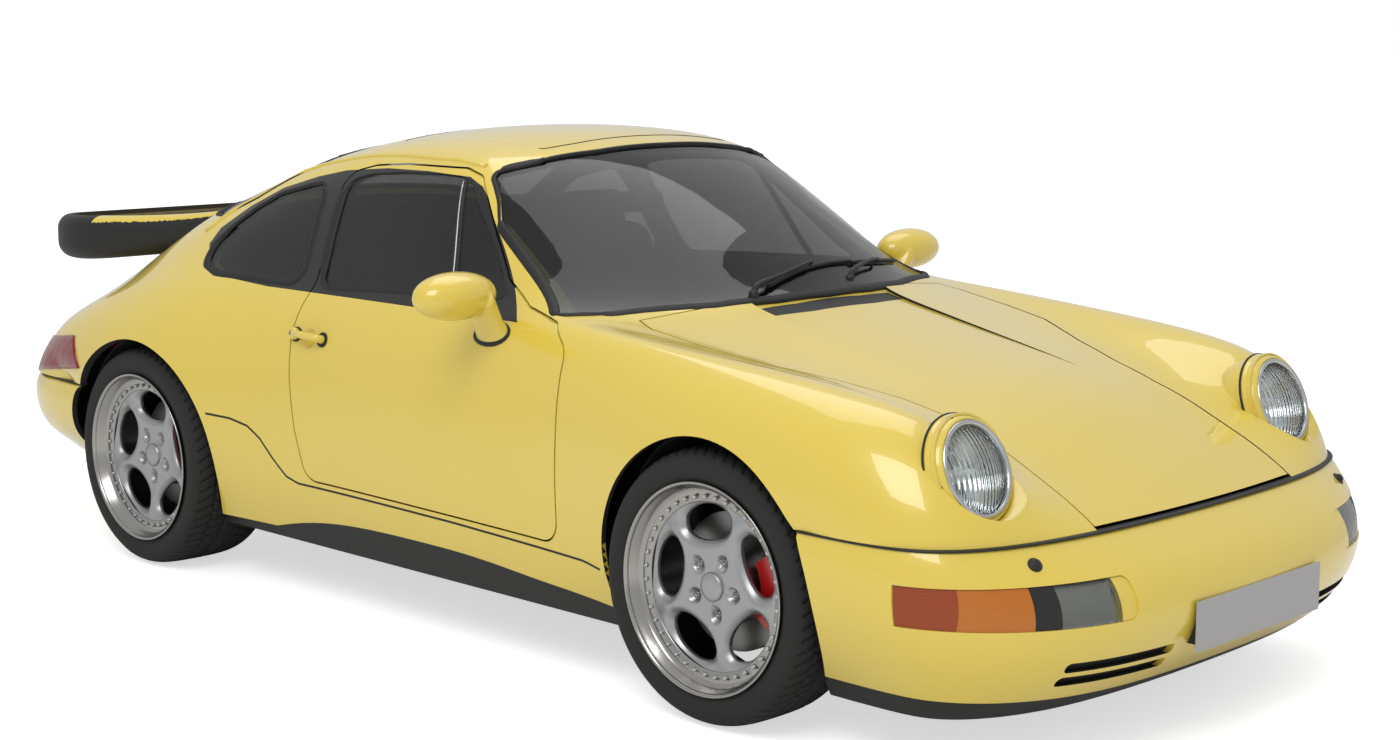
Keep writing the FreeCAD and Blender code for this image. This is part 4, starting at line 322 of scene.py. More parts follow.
def even_line(points, normals):
    """Closed line resampled to even steps: p(s) by linear interpolation along its length."""
    ring = np.vstack([points, points[:1]])
    along = distances(ring)
    count = max(LEAST_STEPS, int(along[-1] / EDGE_STEP))
    steps = np.linspace(0, along[-1], count, endpoint=False)
    n = read_off(np.vstack([normals, normals[:1]]), along, steps)
    for _ in range(3):
        n = (np.roll(n, 1, 0) + n + np.roll(n, -1, 0)) / 3
    return read_off(ring, along, steps), unit(n)


def carried(points, normals, profile):
    """Profile (across, up) carried along a closed line: p + b * across + n * up, b = n x t."""
    b = unit(np.cross(normals, np.roll(points, -1, 0) - np.roll(points, 1, 0)))
    if ((points - points.mean(0)) * b).sum() < 0:
        b = -b
    profile = np.asarray(profile)
    return points[:, None] + b[:, None] * profile[..., :1] + normals[:, None] * profile[..., 1:]


BEAD_ROOT = 0.004


def bead(inner, outer, low, high, count=12):
    """Flattened half-round profile from inner to outer: low + (high - low) (sin a)^0.6."""
    a = np.linspace(0, math.pi, count)
    across = (inner + outer) / 2 - (outer - inner) / 2 * np.cos(a)
    top = np.stack([across, low + (high - low) * np.sin(a) ** 0.6], 1)
    return np.vstack([top, [[outer, low - BEAD_ROOT], [inner, low - BEAD_ROOT]]])


# Extruded black rubber: matt with a soft sheen.
black_rubber = finish("extruded_black_rubber", "#141414", 0.6)
SEAL = bead(-0.013, 0.015, -0.001, 0.0085)
for k, (points, normals) in enumerate(pane_edges("fixed_windows")):
    hoop(f"window_seal_{k + 1}", carried(points, normals, SEAL), black_rubber)

FRAME_WIDTH, BELT_WIDTH, BELT_RISE, FRAME_LAP, FRAME_ROOT = 0.026, 0.01, 0.03, 0.008, 0.008
FRAME_HEIGHTS = np.r_[0.002, np.full(6, 0.0068), 0.0045]
for side in ("left", "right"):
    for k, (points, normals) in enumerate(pane_edges("door_glass_" + side)):
        share = np.clip((points[:, 2] - points[:, 2].min() - BELT_RISE) / BELT_RISE, 0, 1)
        width = BELT_WIDTH + (FRAME_WIDTH - BELT_WIDTH) * share
        profile = np.stack([np.column_stack([np.linspace(-FRAME_LAP, w, 8), FRAME_HEIGHTS])
                            for w in width])
        below = profile[:, [-1, 0]] - [0, FRAME_ROOT]
        profile = np.concatenate([profile, below], 1)
        hoop(f"door_window_frame_{side}_{k + 1}", carried(points, normals, profile), black_rubber,
             "door_" + side)


# Tyres
# Road tyres of matt moulded rubber with four straight grooves and slanted side grooves.
# Each is a profile turned about its axle; the tread's depth is a pattern over the turn.
tyre_rubber = finish("moulded_tyre_rubber", "#1E1D1C", 0.78)
SIDES = (("left", 1), ("right", -1))
FRONT_AXLE, REAR_AXLE = (1.203, 0.725, 0.3186), (-1.069, 0.735, 0.3214)
BEAD_RADIUS, CROWN_DROP, SHOULDER_DROP, TREAD_INSET = 0.2295, 0.0035, 0.011, 0.01
WALL_DROP, WALL_INSET, WALL_FOOT, BULGE, BEAD_LAP = 0.016, 0.006, 0.004, 0.008, 0.0005
GROOVES, GROOVE_SHARE, GROOVE_DEPTH = (-0.58, -0.2, 0.2, 0.58), 0.045, 0.006
BLOCKS, BLOCK_SLANT, SLOT_SHARE, SLOT_FROM, SLOT_TO, TREAD_TURNS = 64, 2.2, 0.16, 0.28, 0.98, 576


def tyre_grid(centre, radius, width, bead_half, outward):
    """Tyre surface: x = cx + r sin a, y = cy + y(v), z = cz + r cos a, with r(v) from the
    profile less the grooves' depth, which is set over (a, v)."""
    crown = np.linspace(-1, 1, 65)
    tread_r = radius - CROWN_DROP * crown ** 2 - SHOULDER_DROP * np.abs(crown) ** 6
    down = np.linspace(0, 1, 9)[1:]
    wall_r = radius - WALL_DROP + (BEAD_RADIUS + WALL_FOOT - radius + WALL_DROP) * down
    bulge = np.sin(np.pi * np.clip(down * 0.9 + 0.12, 0, 1)) * BULGE
    wall_y = width / 2 - WALL_INSET + bulge + (bead_half - width / 2 + WALL_INSET) * down ** 3
    half = np.column_stack([wall_r, wall_y])
    line = np.vstack([half[::-1] * [1, -1],
                      np.column_stack([tread_r, crown * (width / 2 - TREAD_INSET)]), half,
                      [[BEAD_RADIUS + BEAD_LAP, side * (bead_half - WALL_FOOT)] for side in (1, -1)]])
    a = circle(TREAD_TURNS)[:, None]
    straight = sum(np.abs(crown - groove) < GROOVE_SHARE for groove in GROOVES) > 0
    phase = (a / (2 * math.pi) * BLOCKS + BLOCK_SLANT * np.abs(crown) * outward) % 1
    slanted = (phase < SLOT_SHARE) & (np.abs(crown) > SLOT_FROM) & (np.abs(crown) < SLOT_TO)
    r = np.tile(line[:, 0], (TREAD_TURNS, 1))
    r[:, len(half):len(half) + len(crown)] -= np.where(straight | slanted, GROOVE_DEPTH, 0.0)
    y = np.broadcast_to(line[:, 1], r.shape)
    return np.stack([centre[0] + r * np.sin(a), centre[1] + y, centre[2] + r * np.cos(a)], -1)


for axle, (x, y, z), tyre_width, bead_half in (("front", FRONT_AXLE, 0.225, 0.096),
                                              ("rear", REAR_AXLE, 0.265, 0.12)):
    for side, sign in SIDES:
        grid = tyre_grid((x, y * sign, z), z, tyre_width, bead_half, sign)
        tyre = hoop(f"{axle}_tyre_tread_{side}", grid, tyre_rubber, f"wheel_{axle}_{side}")
        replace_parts(tyre, f"{axle}_tyre_{side}")


# Wheels
# Cast alloy wheels: a deep polished lip, a bolted ring, and a silver star of five broad spokes.
# Lip and bolts are turned about the axle. The star is five equal fields, each an opening whose
# outline runs out to the field's edge.
# Silver lacquer on a casting: slightly rough. Polished lip and zinc-plated bolts: bright.
silver_alloy = finish("silver_lacquered_alloy", "#A9AAAC", 0.36, 0.85)
polished_alloy = finish("polished_alloy", "#A6A4A1", 0.22, 1.0)
bright_steel = finish("zinc_plated_steel", "#C4C5C6", 0.25, 1.0)
# The lip's rows: radius, face of the rim (1 outer, -1 inner) and distance out from it.
LIP = np.array([(0.245, -1, 0), (0.245, -1, 0.006), (0.2292, -1, 0.012), (0.2292, 1, -0.012),
                (0.245, 1, -0.006), (0.2445, 1, -0.001), (0.2425, 1, 0), (0.239, 1, -0.0015),
                (0.236, 1, -0.008), (0.2345, 1, -0.02), (0.23, 1, -0.034), (0.2205, 1, -0.0405),
                (0.2185, 1, -0.041), (0.1955, 1, -0.041), (0.1935, 1, -0.043), (0.1935, 1, -0.051),
                (0.201, 1, -0.055), (0.219, 1, -0.059), (0.219, -1, 0.024), (0.237, -1, 0)])
RING_STEP, RING_DEEP, STAR_REACH, STAR_DEEP = 0.1935, 0.041, 0.201, 0.044
SPOKES, OPENING_MIDDLE, OPENING_TALL, OPENING_HALF = 5, 0.146, 0.042, 0.072
FIELD_HALF, FIELD_STEPS, WALL_DRAFT = math.pi / SPOKES, 400, (0.985, 0.998)
COLUMNS, ROWS, WALL_TOP, STAR_THICK = 144, 22, 0.016, 0.022
EDGE_DROP, EDGE_WIDE, ARC_SLACK = 0.012, 0.02, 0.0004
CROWN_HIGH, CROWN_WIDE, CROWN_FROM, CROWN_START, CROWN_END = 0.004, 0.016, 0.085, 0.05, 0.03
HUB_FLAT, HUB_EDGE, CAP_EDGE, MOUNT, HUB_BACK = 0.078, 0.03, 0.0335, 0.048, 0.02
WELL_DEEP, WELL, WELL_WALL = 0.015, 0.018, 0.004
LIP_BOLTS, LIP_BOLT_RING, LUG_RING = 40, 0.206, 0.065
LIP_BOLT = np.array([(0, -0.001), (0.0052, -0.001), (0.0052, 0.006), (0.00416, 0.0075),
                     (0.00234, 0.0075), (0.00208, 0.003), (0, 0.003)])
LUG_BOLT = np.array([(0, -0.017), (0.0095, -0.017), (0.0095, -0.01), (0.0076, -0.007),
                     (0.00475, -0.007), (0.004275, -0.015), (0, -0.015)])


def opening_outline():
    """Opening between two spokes, as even points (across, up) from its top. It is an oval with
    full corners, across = w (1 + 0.1 cos t) |sin t|^0.8 and up = c + h |cos t|^0.8 with the signs
    kept, and its outer half is lowered by across^2 (1 + cos t) / 0.76 to follow the lip."""
    t = circle(1440)
    sine, cosine = np.sin(t), np.cos(t)
    across = OPENING_HALF * (1 + 0.1 * cosine) * np.sign(sine) * np.abs(sine) ** 0.8
    up = OPENING_MIDDLE + OPENING_TALL * np.sign(cosine) * np.abs(cosine) ** 0.8
    line = np.column_stack([across, up - across ** 2 * (1 + cosine) / 0.76])
    ring = np.vstack([line, line[:1]])
    along = distances(ring)
    return read_off(ring, along, np.linspace(0, along[-1], COLUMNS, endpoint=False))


def field_edge(outline):
    """For each point of the outline, the point of the 72 degree field's edge seen in the same
    direction from the outline's middle."""
    arc = np.linspace(-FIELD_HALF, FIELD_HALF, FIELD_STEPS)
    radius = np.linspace(HUB_EDGE, STAR_REACH, FIELD_STEPS)
    round_edges = [np.column_stack([r * np.sin(arc), r * np.cos(arc)])
                   for r in (STAR_REACH, HUB_EDGE)]
    straight = [np.column_stack([radius * math.sin(end), radius * math.cos(end)])
                for end in (-FIELD_HALF, FIELD_HALF)]
    edge = np.vstack(round_edges + straight)
    middle = np.array([0, outline[:, 1].mean()])
    seen = np.arctan2(*(edge - middle).T)
    order = np.argsort(seen)
    wanted = np.arctan2(*(outline - middle).T)
    return np.stack([np.interp(wanted, seen[order], edge[order, k], period=2 * math.pi)
                     for k in range(2)], 1)


def star(name, half, hub, centre, sign, body, start):
    """Five-spoke star. Its height over the plan is a hollow cone with a crown along each spoke,
    less a round edge at each opening, e (1 - d / w)^2, and a well round each wheel bolt."""
    outline = opening_outline()
    edge = field_edge(outline)
    share = np.linspace(0, 1, ROWS)[:, None, None] ** 1.3
    wall = outline * WALL_DRAFT
    plan = np.concatenate([(outline + (edge - outline) * share)[::-1], [wall, wall, edge]])
    across, up = plan[..., 0], plan[..., 1]
    radius = np.linalg.norm(plan, axis=2)
    rise = np.clip((radius - HUB_FLAT) / (RING_STEP - HUB_FLAT), 0, 1) ** 1.5
    face = hub + (half - STAR_DEEP - hub) * rise
    off_spoke = radius * np.sin(FIELD_HALF - np.abs(np.arctan2(across, up)))
    crown = CROWN_HIGH * np.exp(-(off_spoke / CROWN_WIDE) ** 2)
    crown *= np.clip((radius - CROWN_FROM) / CROWN_START, 0, 1)
    crown *= np.clip((RING_STEP - radius) / CROWN_END, 0, 1)
    near = np.linalg.norm(plan - outline, axis=2)
    rounded = EDGE_DROP * (1 - np.clip(near / EDGE_WIDE, 0, 1)) ** 2
    from_lug = np.hypot(np.abs(across) - LUG_RING * math.sin(FIELD_HALF),
                        up - LUG_RING * math.cos(FIELD_HALF))
    well = WELL_DEEP * np.clip((WELL - from_lug) / WELL_WALL, 0, 1)
    height = face + crown - rounded - well
    height[-3] = face[-3] - WALL_TOP
    height[-2:] = face[-2:] - STAR_THICK
    ring = np.linalg.norm(edge, axis=1)
    on_arc = (ring > STAR_REACH - ARC_SLACK) | (ring < HUB_EDGE + ARC_SLACK)
    j = np.arange(COLUMNS)[on_arc & np.roll(on_arc, -1)]
    last, beside = height.size - COLUMNS, (j + 1) % COLUMNS
    field = np.vstack([cells(len(height), COLUMNS, False),
                       np.stack([last + j, j, beside, last + beside], -1)])
    points, faces = [], []
    for k in range(SPOKES):
        turn = start + 2 * FIELD_HALF * k
        points.append(np.stack([centre[0] + across * math.cos(turn) + up * math.sin(turn),
                                centre[1] + height * sign,
                                centre[2] + up * math.cos(turn) - across * math.sin(turn)],
                               -1).reshape(-1, 3))
        faces.append(field + k * height.size)
    return faces_mesh(name, np.vstack(points), np.vstack(faces), silver_alloy, body, STAR_MERGE)


def turned(profile, centre, axis, count=32):
    """Grid of a profile [(radius, height)] turned about an axis:
    p = centre + axis h + r (e1 cos a + e2 sin a)."""
    axis = unit(np.asarray(axis, float))
    e1 = unit(np.cross(axis, [0, 0, 1] if abs(axis[2]) < 0.9 else [1, 0, 0]))
    a = circle(count)[None, :, None]
    r, h = np.asarray(profile, float).T[:, :, None, None]
    return np.asarray(centre) + axis * h + (e1 * np.cos(a) + np.cross(axis, e1) * np.sin(a)) * r


def bolts(name, centre, sign, places, head, corners, material, body):
    """Turned heads on a circle about an axle, as one mesh. Places are (count, radius, start),
    and the first head stands half a step past the start."""
    count, ring, start = places
    turns = start + 2 * math.pi * (np.arange(count) + 0.5) / count
    spots = centre + ring * np.stack([np.sin(turns), 0 * turns, np.cos(turns)], 1)
    many(name, [turned(head, spot, (0, sign, 0), corners) for spot in spots], material, body)


for axle, (x, y, z), half, hub, start in (("front", FRONT_AXLE, 0.114, 0.07, -0.16),
                                          ("rear", REAR_AXLE, 0.138, 0.08, 0.03)):
    lip_line = np.column_stack([LIP[:, 0], LIP[:, 1] * half + LIP[:, 2]])
    hub_line = [(0, MOUNT), (0.074, MOUNT), (0.076, hub - HUB_BACK), (CAP_EDGE, hub - HUB_BACK),
                (CAP_EDGE, hub + 0.004), (0.0305, hub + 0.007), (0.02, hub + 0.0095), (0, hub + 0.01)]
    for side, sign in SIDES:
        centre, out, wheel = (x, y * sign, z), (0, sign, 0), f"wheel_{axle}_{side}"
        lip, middle = turned(lip_line, centre, out, 160), turned(hub_line, centre, out, 64)
        for piece in (hoop(f"{axle}_rim_lip_{side}", lip, polished_alloy, wheel),
                      star(f"{axle}_rim_star_{side}", half, hub, centre, sign, wheel, start),
                      many(f"{axle}_rim_hub_{side}", [middle], silver_alloy, wheel)):
            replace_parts(piece, f"{axle}_rim_{side}")
        bolts(f"{axle}_lip_bolts_{side}", centre, sign, (LIP_BOLTS, LIP_BOLT_RING, 0),
              LIP_BOLT + [0, half - RING_DEEP], 10, bright_steel, wheel)
        bolts(f"{axle}_wheel_bolts_{side}", centre, sign, (SPOKES, LUG_RING, start),
              LUG_BOLT + [0, hub], 12, cast_iron, wheel)


# Lamps
# Round headlamps with a fluted glass over a bright bowl and a bulb; amber turn lamps; clear
# fog lamps with a bright back; red tail band. The lenses are CAD nodes.
def grained(material, kind, scale, strength, distance, **settings):
    """Adds a bump from a texture on Object coordinates."""
    tree = material.node_tree
    place = add_node(tree, "TexCoord").outputs["Object"]
    pattern = add_node(tree, kind, {"Scale": scale, **settings}, [(place, "Vector")]).outputs
    bump = add_node(tree, "Bump", {"Strength": strength, "Distance": distance},
                    [(pattern.get("Fac") or pattern["Distance"], "Height")])
    tree.links.new(bump.outputs["Normal"], tree.nodes["Principled BSDF"].inputs["Normal"])
    return material


# Pressed glass with upright flutes, and vapour-coated reflectors: clear over a bright mirror.
FLUTES, FLUTE_DEEP = "TexWave", 0.002
lamp_glass = finish("fluted_lamp_glass", "#EEF2F2", 0.03, Transmission_Weight=1.0, IOR=1.3)
dress(grained(lamp_glass, FLUTES, 26.0, 0.5, FLUTE_DEEP, bands_direction="Y"), "lamp_glasses")
bright_bowl = finish("vaporised_aluminium", "#D8DADC", 0.12, 1.0)
dress(bright_bowl, "headlamp_bowls")
# Moulded acrylic lenses: deep colour under a soft gloss. The turn lamps' outer part is redder.
amber_lens = finish("amber_acrylic_lens", "#BD6A08", 0.25, Coat_Weight=0.3)
dress(grained(amber_lens, FLUTES, 40.0, 0.35, FLUTE_DEEP, bands_direction="Z"), "front_lamps")
LENS_SPLIT = 0.783
tree = amber_lens.node_tree
sides = add_node(tree, "SeparateXYZ", {},
                 [(add_node(tree, "TexCoord").outputs["Object"], "Vector")])
off_middle = add_node(tree, "Math", {"operation": "ABSOLUTE"}, [(sides.outputs["Y"], 0)])
two_colours(amber_lens, off_middle.outputs[0], LENS_SPLIT, "#963C08")
red_lens = finish("dark_red_acrylic_lens", "#7E0C10", 0.2, Coat_Weight=0.3)
dress(grained(red_lens, FLUTES, 30.0, 0.3, FLUTE_DEEP, bands_direction="Y"), "tail_lamps")

# The fog lamps' rear faces are a duller pressed reflector.
FOG_BACK, REARWARD = 1.9, -0.5
fog_bowl = finish("pressed_fog_reflector", "#7D7E78", 0.4, 1.0)
middles, leans = face_table("lamp_glasses")
second_finish("lamp_glasses", fog_bowl, (middles[:, 0] > FOG_BACK) & (leans[:, 0] < REARWARD))

# Inboard of each fog lamp the bumper's own yellow skin closes the row. Corners are (y, z).
ROW_LOW, ROW_HIGH = (0.4, 0.33), (0.505, 0.445)
middles = np.abs(face_table("bumper_inserts")[0][:, 1:])
row_end = ((middles > ROW_LOW) & (middles < ROW_HIGH)).all(1)
second_finish("bumper_inserts", yellow_enamel, row_end)

# Headlamp rings
# A yellow ring narrows from its rubber gasket to a bright bead round each glass, held by three
# dark screws. All are turned about the lamp's axis. A sleeve closes the wing's opening round
# it, as far as the skin, which is found by rays.
BEZEL = [(0.0955, -0.006), (0.1075, -0.006), (0.1075, 0.01), (0.104, 0.0135), (0.099, 0.0135),
         (0.0955, 0.009)]
CONE = [(0.1065, -0.02), (0.1065, 0.006), (0.109, 0.0105), (0.113, 0.009), (0.121, -0.005),
        (0.128, -0.02), (0.129, -0.026), (0.106, -0.026)]
GASKET = [(0.126, -0.03), (0.1312, -0.03), (0.1318, -0.0275), (0.13, -0.025), (0.126, -0.025)]
RING_TURNS, SLEEVE_TURNS, SLEEVE_IN, SLEEVE_OUT, SLEEVE_LOW = 96, 120, 0.1196, 0.124, -0.13
SLEEVE_HIGH, SLEEVE_AHEAD, SKIN_LAP = -0.027, 0.16, 0.0005
SCREW_TURNS, SCREW_RING, SCREW_LIFT, SCREW_LEAN = (12, 100, 205), 0.1195, -0.003, 0.45


def skin_tree(*names):
    """One ray tree over the faces of several CAD nodes."""
    points, faces = [], []
    for name in names:
        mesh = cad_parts[name].data
        faces += [[v + len(points) for v in polygon.vertices] for polygon in mesh.polygons]
        points += [v.co.copy() for v in mesh.vertices]
    return BVHTree.FromPolygons(points, faces)


def struck(tree, start, aim):
    """Where a ray meets the faces and their direction there, or two Nones."""
    spot, normal, _, _ = tree.ray_cast(Vector(start), Vector(aim))
    return (None, None) if spot is None else (np.array(spot), np.array(normal))


def stud(radius, low, shoulder, inner, high, middle=None):
    """Profile of a round head: up its wall to the shoulder, in to the top, and to the middle."""
    return [(0, low), (radius, low), (radius, shoulder), (inner, high),
            (0, high if middle is None else middle)]


SCREW = stud(0.0042, -0.002, 0.0022, 0.003, 0.0032, 0.002)
fender_tree = skin_tree("front_fenders")
lamp_up = np.array([-math.sin(LAMP_TILT), 0, math.cos(LAMP_TILT)])
for side, sign in SIDES:
    centre = LAMP_CENTRE * [1, sign, 1]
    hoop(f"headlamp_bezel_{side}", turned(BEZEL, centre, lamp_axis, RING_TURNS), bright_steel)
    ring = hoop(f"headlamp_ring_{side}", turned(CONE, centre, lamp_axis, RING_TURNS), yellow_enamel)
    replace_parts(ring, "headlamp_rings")
    hoop(f"headlamp_gasket_{side}", turned(GASKET, centre, lamp_axis, RING_TURNS), black_rubber)
    sleeve = []
    for a in circle(SLEEVE_TURNS):
        out = np.array([0, 1, 0]) * math.cos(a) + np.cross(lamp_axis, [0, 1, 0]) * math.sin(a)
        spot, _ = struck(fender_tree, centre + out * SLEEVE_OUT + lamp_axis * 2 * SLEEVE_AHEAD,
                         -lamp_axis)
        skin = (spot - centre) @ lamp_axis - SKIN_LAP
        high = min(max(skin, SLEEVE_HIGH), SLEEVE_AHEAD)
        sleeve.append([centre + out * r + lamp_axis * h for r, h in (
            (SLEEVE_IN, SLEEVE_LOW), (SLEEVE_IN, high), (SLEEVE_OUT, high), (SLEEVE_OUT, SLEEVE_LOW))])
    hoop(f"headlamp_sleeve_{side}", np.array(sleeve), yellow_enamel)
    screws = []
    for turn in np.radians(SCREW_TURNS):
        out = lamp_up * math.cos(turn) + np.array([0, sign, 0]) * math.sin(turn)
        screws.append(turned(SCREW, centre + lamp_axis * SCREW_LIFT + out * SCREW_RING,
                             out * SCREW_LEAN + lamp_axis, 14))
    many(f"headlamp_screws_{side}", screws, black_steel)

# Bulbs
# A small bulb of clear bright glass stands in each bowl, turned about the lamp's axis.
bulb_glass = finish("clear_bulb_glass", "#F5F5F0", 0.05, Coat_Weight=1.0)
BULB = [(0, -0.068), (0.016, -0.068), (0.016, -0.045), (0.007, -0.043), (0.007, -0.018),
        (0.005, -0.012), (0, -0.01)]
for side, sign in SIDES:
    many(f"headlamp_bulb_{side}", [turned(BULB, LAMP_CENTRE * [1, sign, 1], lamp_axis)], bulb_glass)


# Lines and rails on the sides
# A dark joint parts the sill covers from the body, a black post with a bright edge divides each
# door window, and a pressed drip rail runs over the doors. Each follows the skin, found by rays.
SILL_SEAM = [(0.838, 0.297), (0.78, 0.308), (0.268, 0.322), (-0.372, 0.331), (-0.42, 0.345),
             (-0.47, 0.388), (-0.52, 0.44), (-0.57, 0.47), (-0.64, 0.484), (-0.735, 0.488)]
RAIL = [(0.1, 1.203), (0, 1.216), (-0.228, 1.22), (-0.368, 1.214), (-0.487, 1.2), (-0.62, 1.178),
        (-0.76, 1.142), (-0.9, 1.078), (-0.985, 1.02), (-1.04, 0.97)]
DIVIDER = [(0.066, 1.16), (0.172, 0.892)]
SIDE_FAR, LEAST_HITS, BAR_ROOT = 1.2, 6, 0.002
body_tree = skin_tree("body_shell", "door_left", "door_right", "front_fenders")
glass_tree = skin_tree("fixed_windows")


def on_side(x, z, sign, tree=body_tree):
    """Point and direction out on the side of the car."""
    return struck(tree, (x, SIDE_FAR * sign, z), (0, -sign, 0))


def side_strip(name, line, spacing, width, low, high, material, on_door=False):
    """Half-round bar on both sides along a line of (x, z) corners: p + b across + n up, its ends
    drawn to points."""
    along = distances(line)
    steps = np.linspace(0, along[-1], max(LEAST_HITS, int(along[-1] / spacing)))
    a = np.linspace(0, math.pi, 7)
    across = np.r_[-np.cos(a), 0.9, -0.9] * width / 2
    up = np.r_[low + (high - low) * np.sin(a), low - BAR_ROOT, low - BAR_ROOT]
    for side, sign in SIDES:
        tree = skin_tree("door_glass_" + side) if on_door else body_tree
        hits = [on_side(x, z, sign, tree) for x, z in read_off(np.array(line), along, steps)]
        points, normals = np.swapaxes([hit for hit in hits if hit[0] is not None], 0, 1)
        b = unit(np.cross(normals, np.gradient(points, axis=0)))
        grid = points[:, None] + b[:, None] * across[:, None] + normals[:, None] * up[:, None]
        ends = grid[[0, -1]].mean(1, keepdims=True).repeat(grid.shape[1], 1)
        many(f"{name}_{side}", [np.concatenate([ends[:1], grid, ends[1:]])], material,
             "door_" + side if on_door else "car_body")


side_strip("sill_seam", SILL_SEAM, 0.015, 0.007, -0.001, 0.0014, black_rubber)
side_strip("window_post", DIVIDER, 0.02, 0.024, -0.001, 0.0055, black_rubber, True)
side_strip("window_post_edge", DIVIDER, 0.02, 0.005, 0.004, 0.0078, bright_steel, True)
side_strip("drip_rail", RAIL, 0.03, 0.015, -0.002, 0.006, yellow_enamel)

# The sunroof's rubber edge shows as a thin dark line.
ROOF_BEAD = bead(-0.002, 0.0035, -0.001, 0.0012)
for k, (points, normals) in enumerate(pane_edges("sunroof_panel")):
    hoop(f"sunroof_seam_{k + 1}", carried(points, normals, ROOF_BEAD), black_rubber)

# Door mirrors and handles
# Each mirror is a painted egg with a flat open back on a broad foot; a voxel mesh joins and
# smooths the two as one moulding. The handle is a round boss with the lock, and a round bar
# that runs forward from it and dips into the door. Black gaskets lie under both.
MIRROR_MIDDLE, MIRROR_HALF, MIRROR_BACK = np.array([0.4, 0.868, 0.915]), (0.072, 0.119, 0.06), 0.036
FOOT_AIM, FOOT_LONG, FOOT_WIDE, FLARE = (0.398, 0.812), 0.056, 0.022, 0.008
NECK_TOP, NECK_LONG, NECK_WIDE = np.array([0.419, 0.812, 0.905]), 0.055, 0.034
MOULD_VOXEL, MOULD_ROUNDS, OVAL_STEPS = 0.003, 26, 48
GASKET_LONG, GASKET_WIDE, GASKET_ROOT, GASKET_LIP, GASKET_TOP = 0.069, 0.034, -0.008, 0.0015, 0.004
HANDLE_REAR, HANDLE_FORE = (-0.386, 0.739), (-0.273, 0.734)
BOSS = stud(0.0165, -0.003, 0.015, 0.0135, 0.021)
LOCK = stud(0.006, 0, 0.0222, 0.006, 0.0222)
PAD = stud(0.0205, -0.003, 0.0024, 0.018, 0.0036)
GRIP_SHARES, GRIP_RADII = [0, 0.2, 0.7, 0.9, 1], [0.0125, 0.0105, 0.0095, 0.0115, 0.0125]


def bar(points, radii, count=12):
    """Round bar: rings of the radii square to the line through the points, ends closed."""
    points = np.asarray(points, float)
    t = unit(np.gradient(points, axis=0))
    side_way = unit(np.cross(t, [0.1, 0.2, 1.0]))
    lift = np.cross(side_way, t)
    a = circle(count)[None, :, None]
    r = np.broadcast_to(np.asarray(radii, float), len(points))[:, None, None]
    grid = points[:, None] + (side_way[:, None] * np.cos(a) + lift[:, None] * np.sin(a)) * r
    first, last = points[:1, None].repeat(count, 1), points[-1:, None].repeat(count, 1)
    return np.concatenate([first, grid, last])


def curve(corners, count):
    """Smooth line through corners: each coordinate is a cubic by the Catmull-Rom formula."""
    c = np.asarray(corners, float)
    c = np.vstack([2 * c[0] - c[1], c, 2 * c[-1] - c[-2]])
    out = []
    for k in range(1, len(c) - 2):
        s = np.linspace(0, 1, count, endpoint=k == len(c) - 3)[:, None]
        p0, p1, p2, p3 = c[k - 1:k + 3]
        out.append(0.5 * (2 * p1 + (p2 - p0) * s + (2 * p0 - 5 * p1 + 4 * p2 - p3) * s ** 2
                          + (3 * p1 - p0 - 3 * p2 + p3) * s ** 3))
    return np.vstack(out)


def moulded(made):
    """Joins overlapping closed forms into one skin by a voxel mesh, and smooths its edges."""
    made.modifiers.new("join", "REMESH").voxel_size = MOULD_VOXEL
    smooth = made.modifiers.new("soften", "SMOOTH")
    smooth.factor, smooth.iterations = 0.5, MOULD_ROUNDS
    graph = bpy.context.evaluated_depsgraph_get()
    mesh = bpy.data.meshes.new_from_object(made.evaluated_get(graph))
    made.modifiers.clear()
    made.data = mesh
    mesh.shade_smooth()
    return made


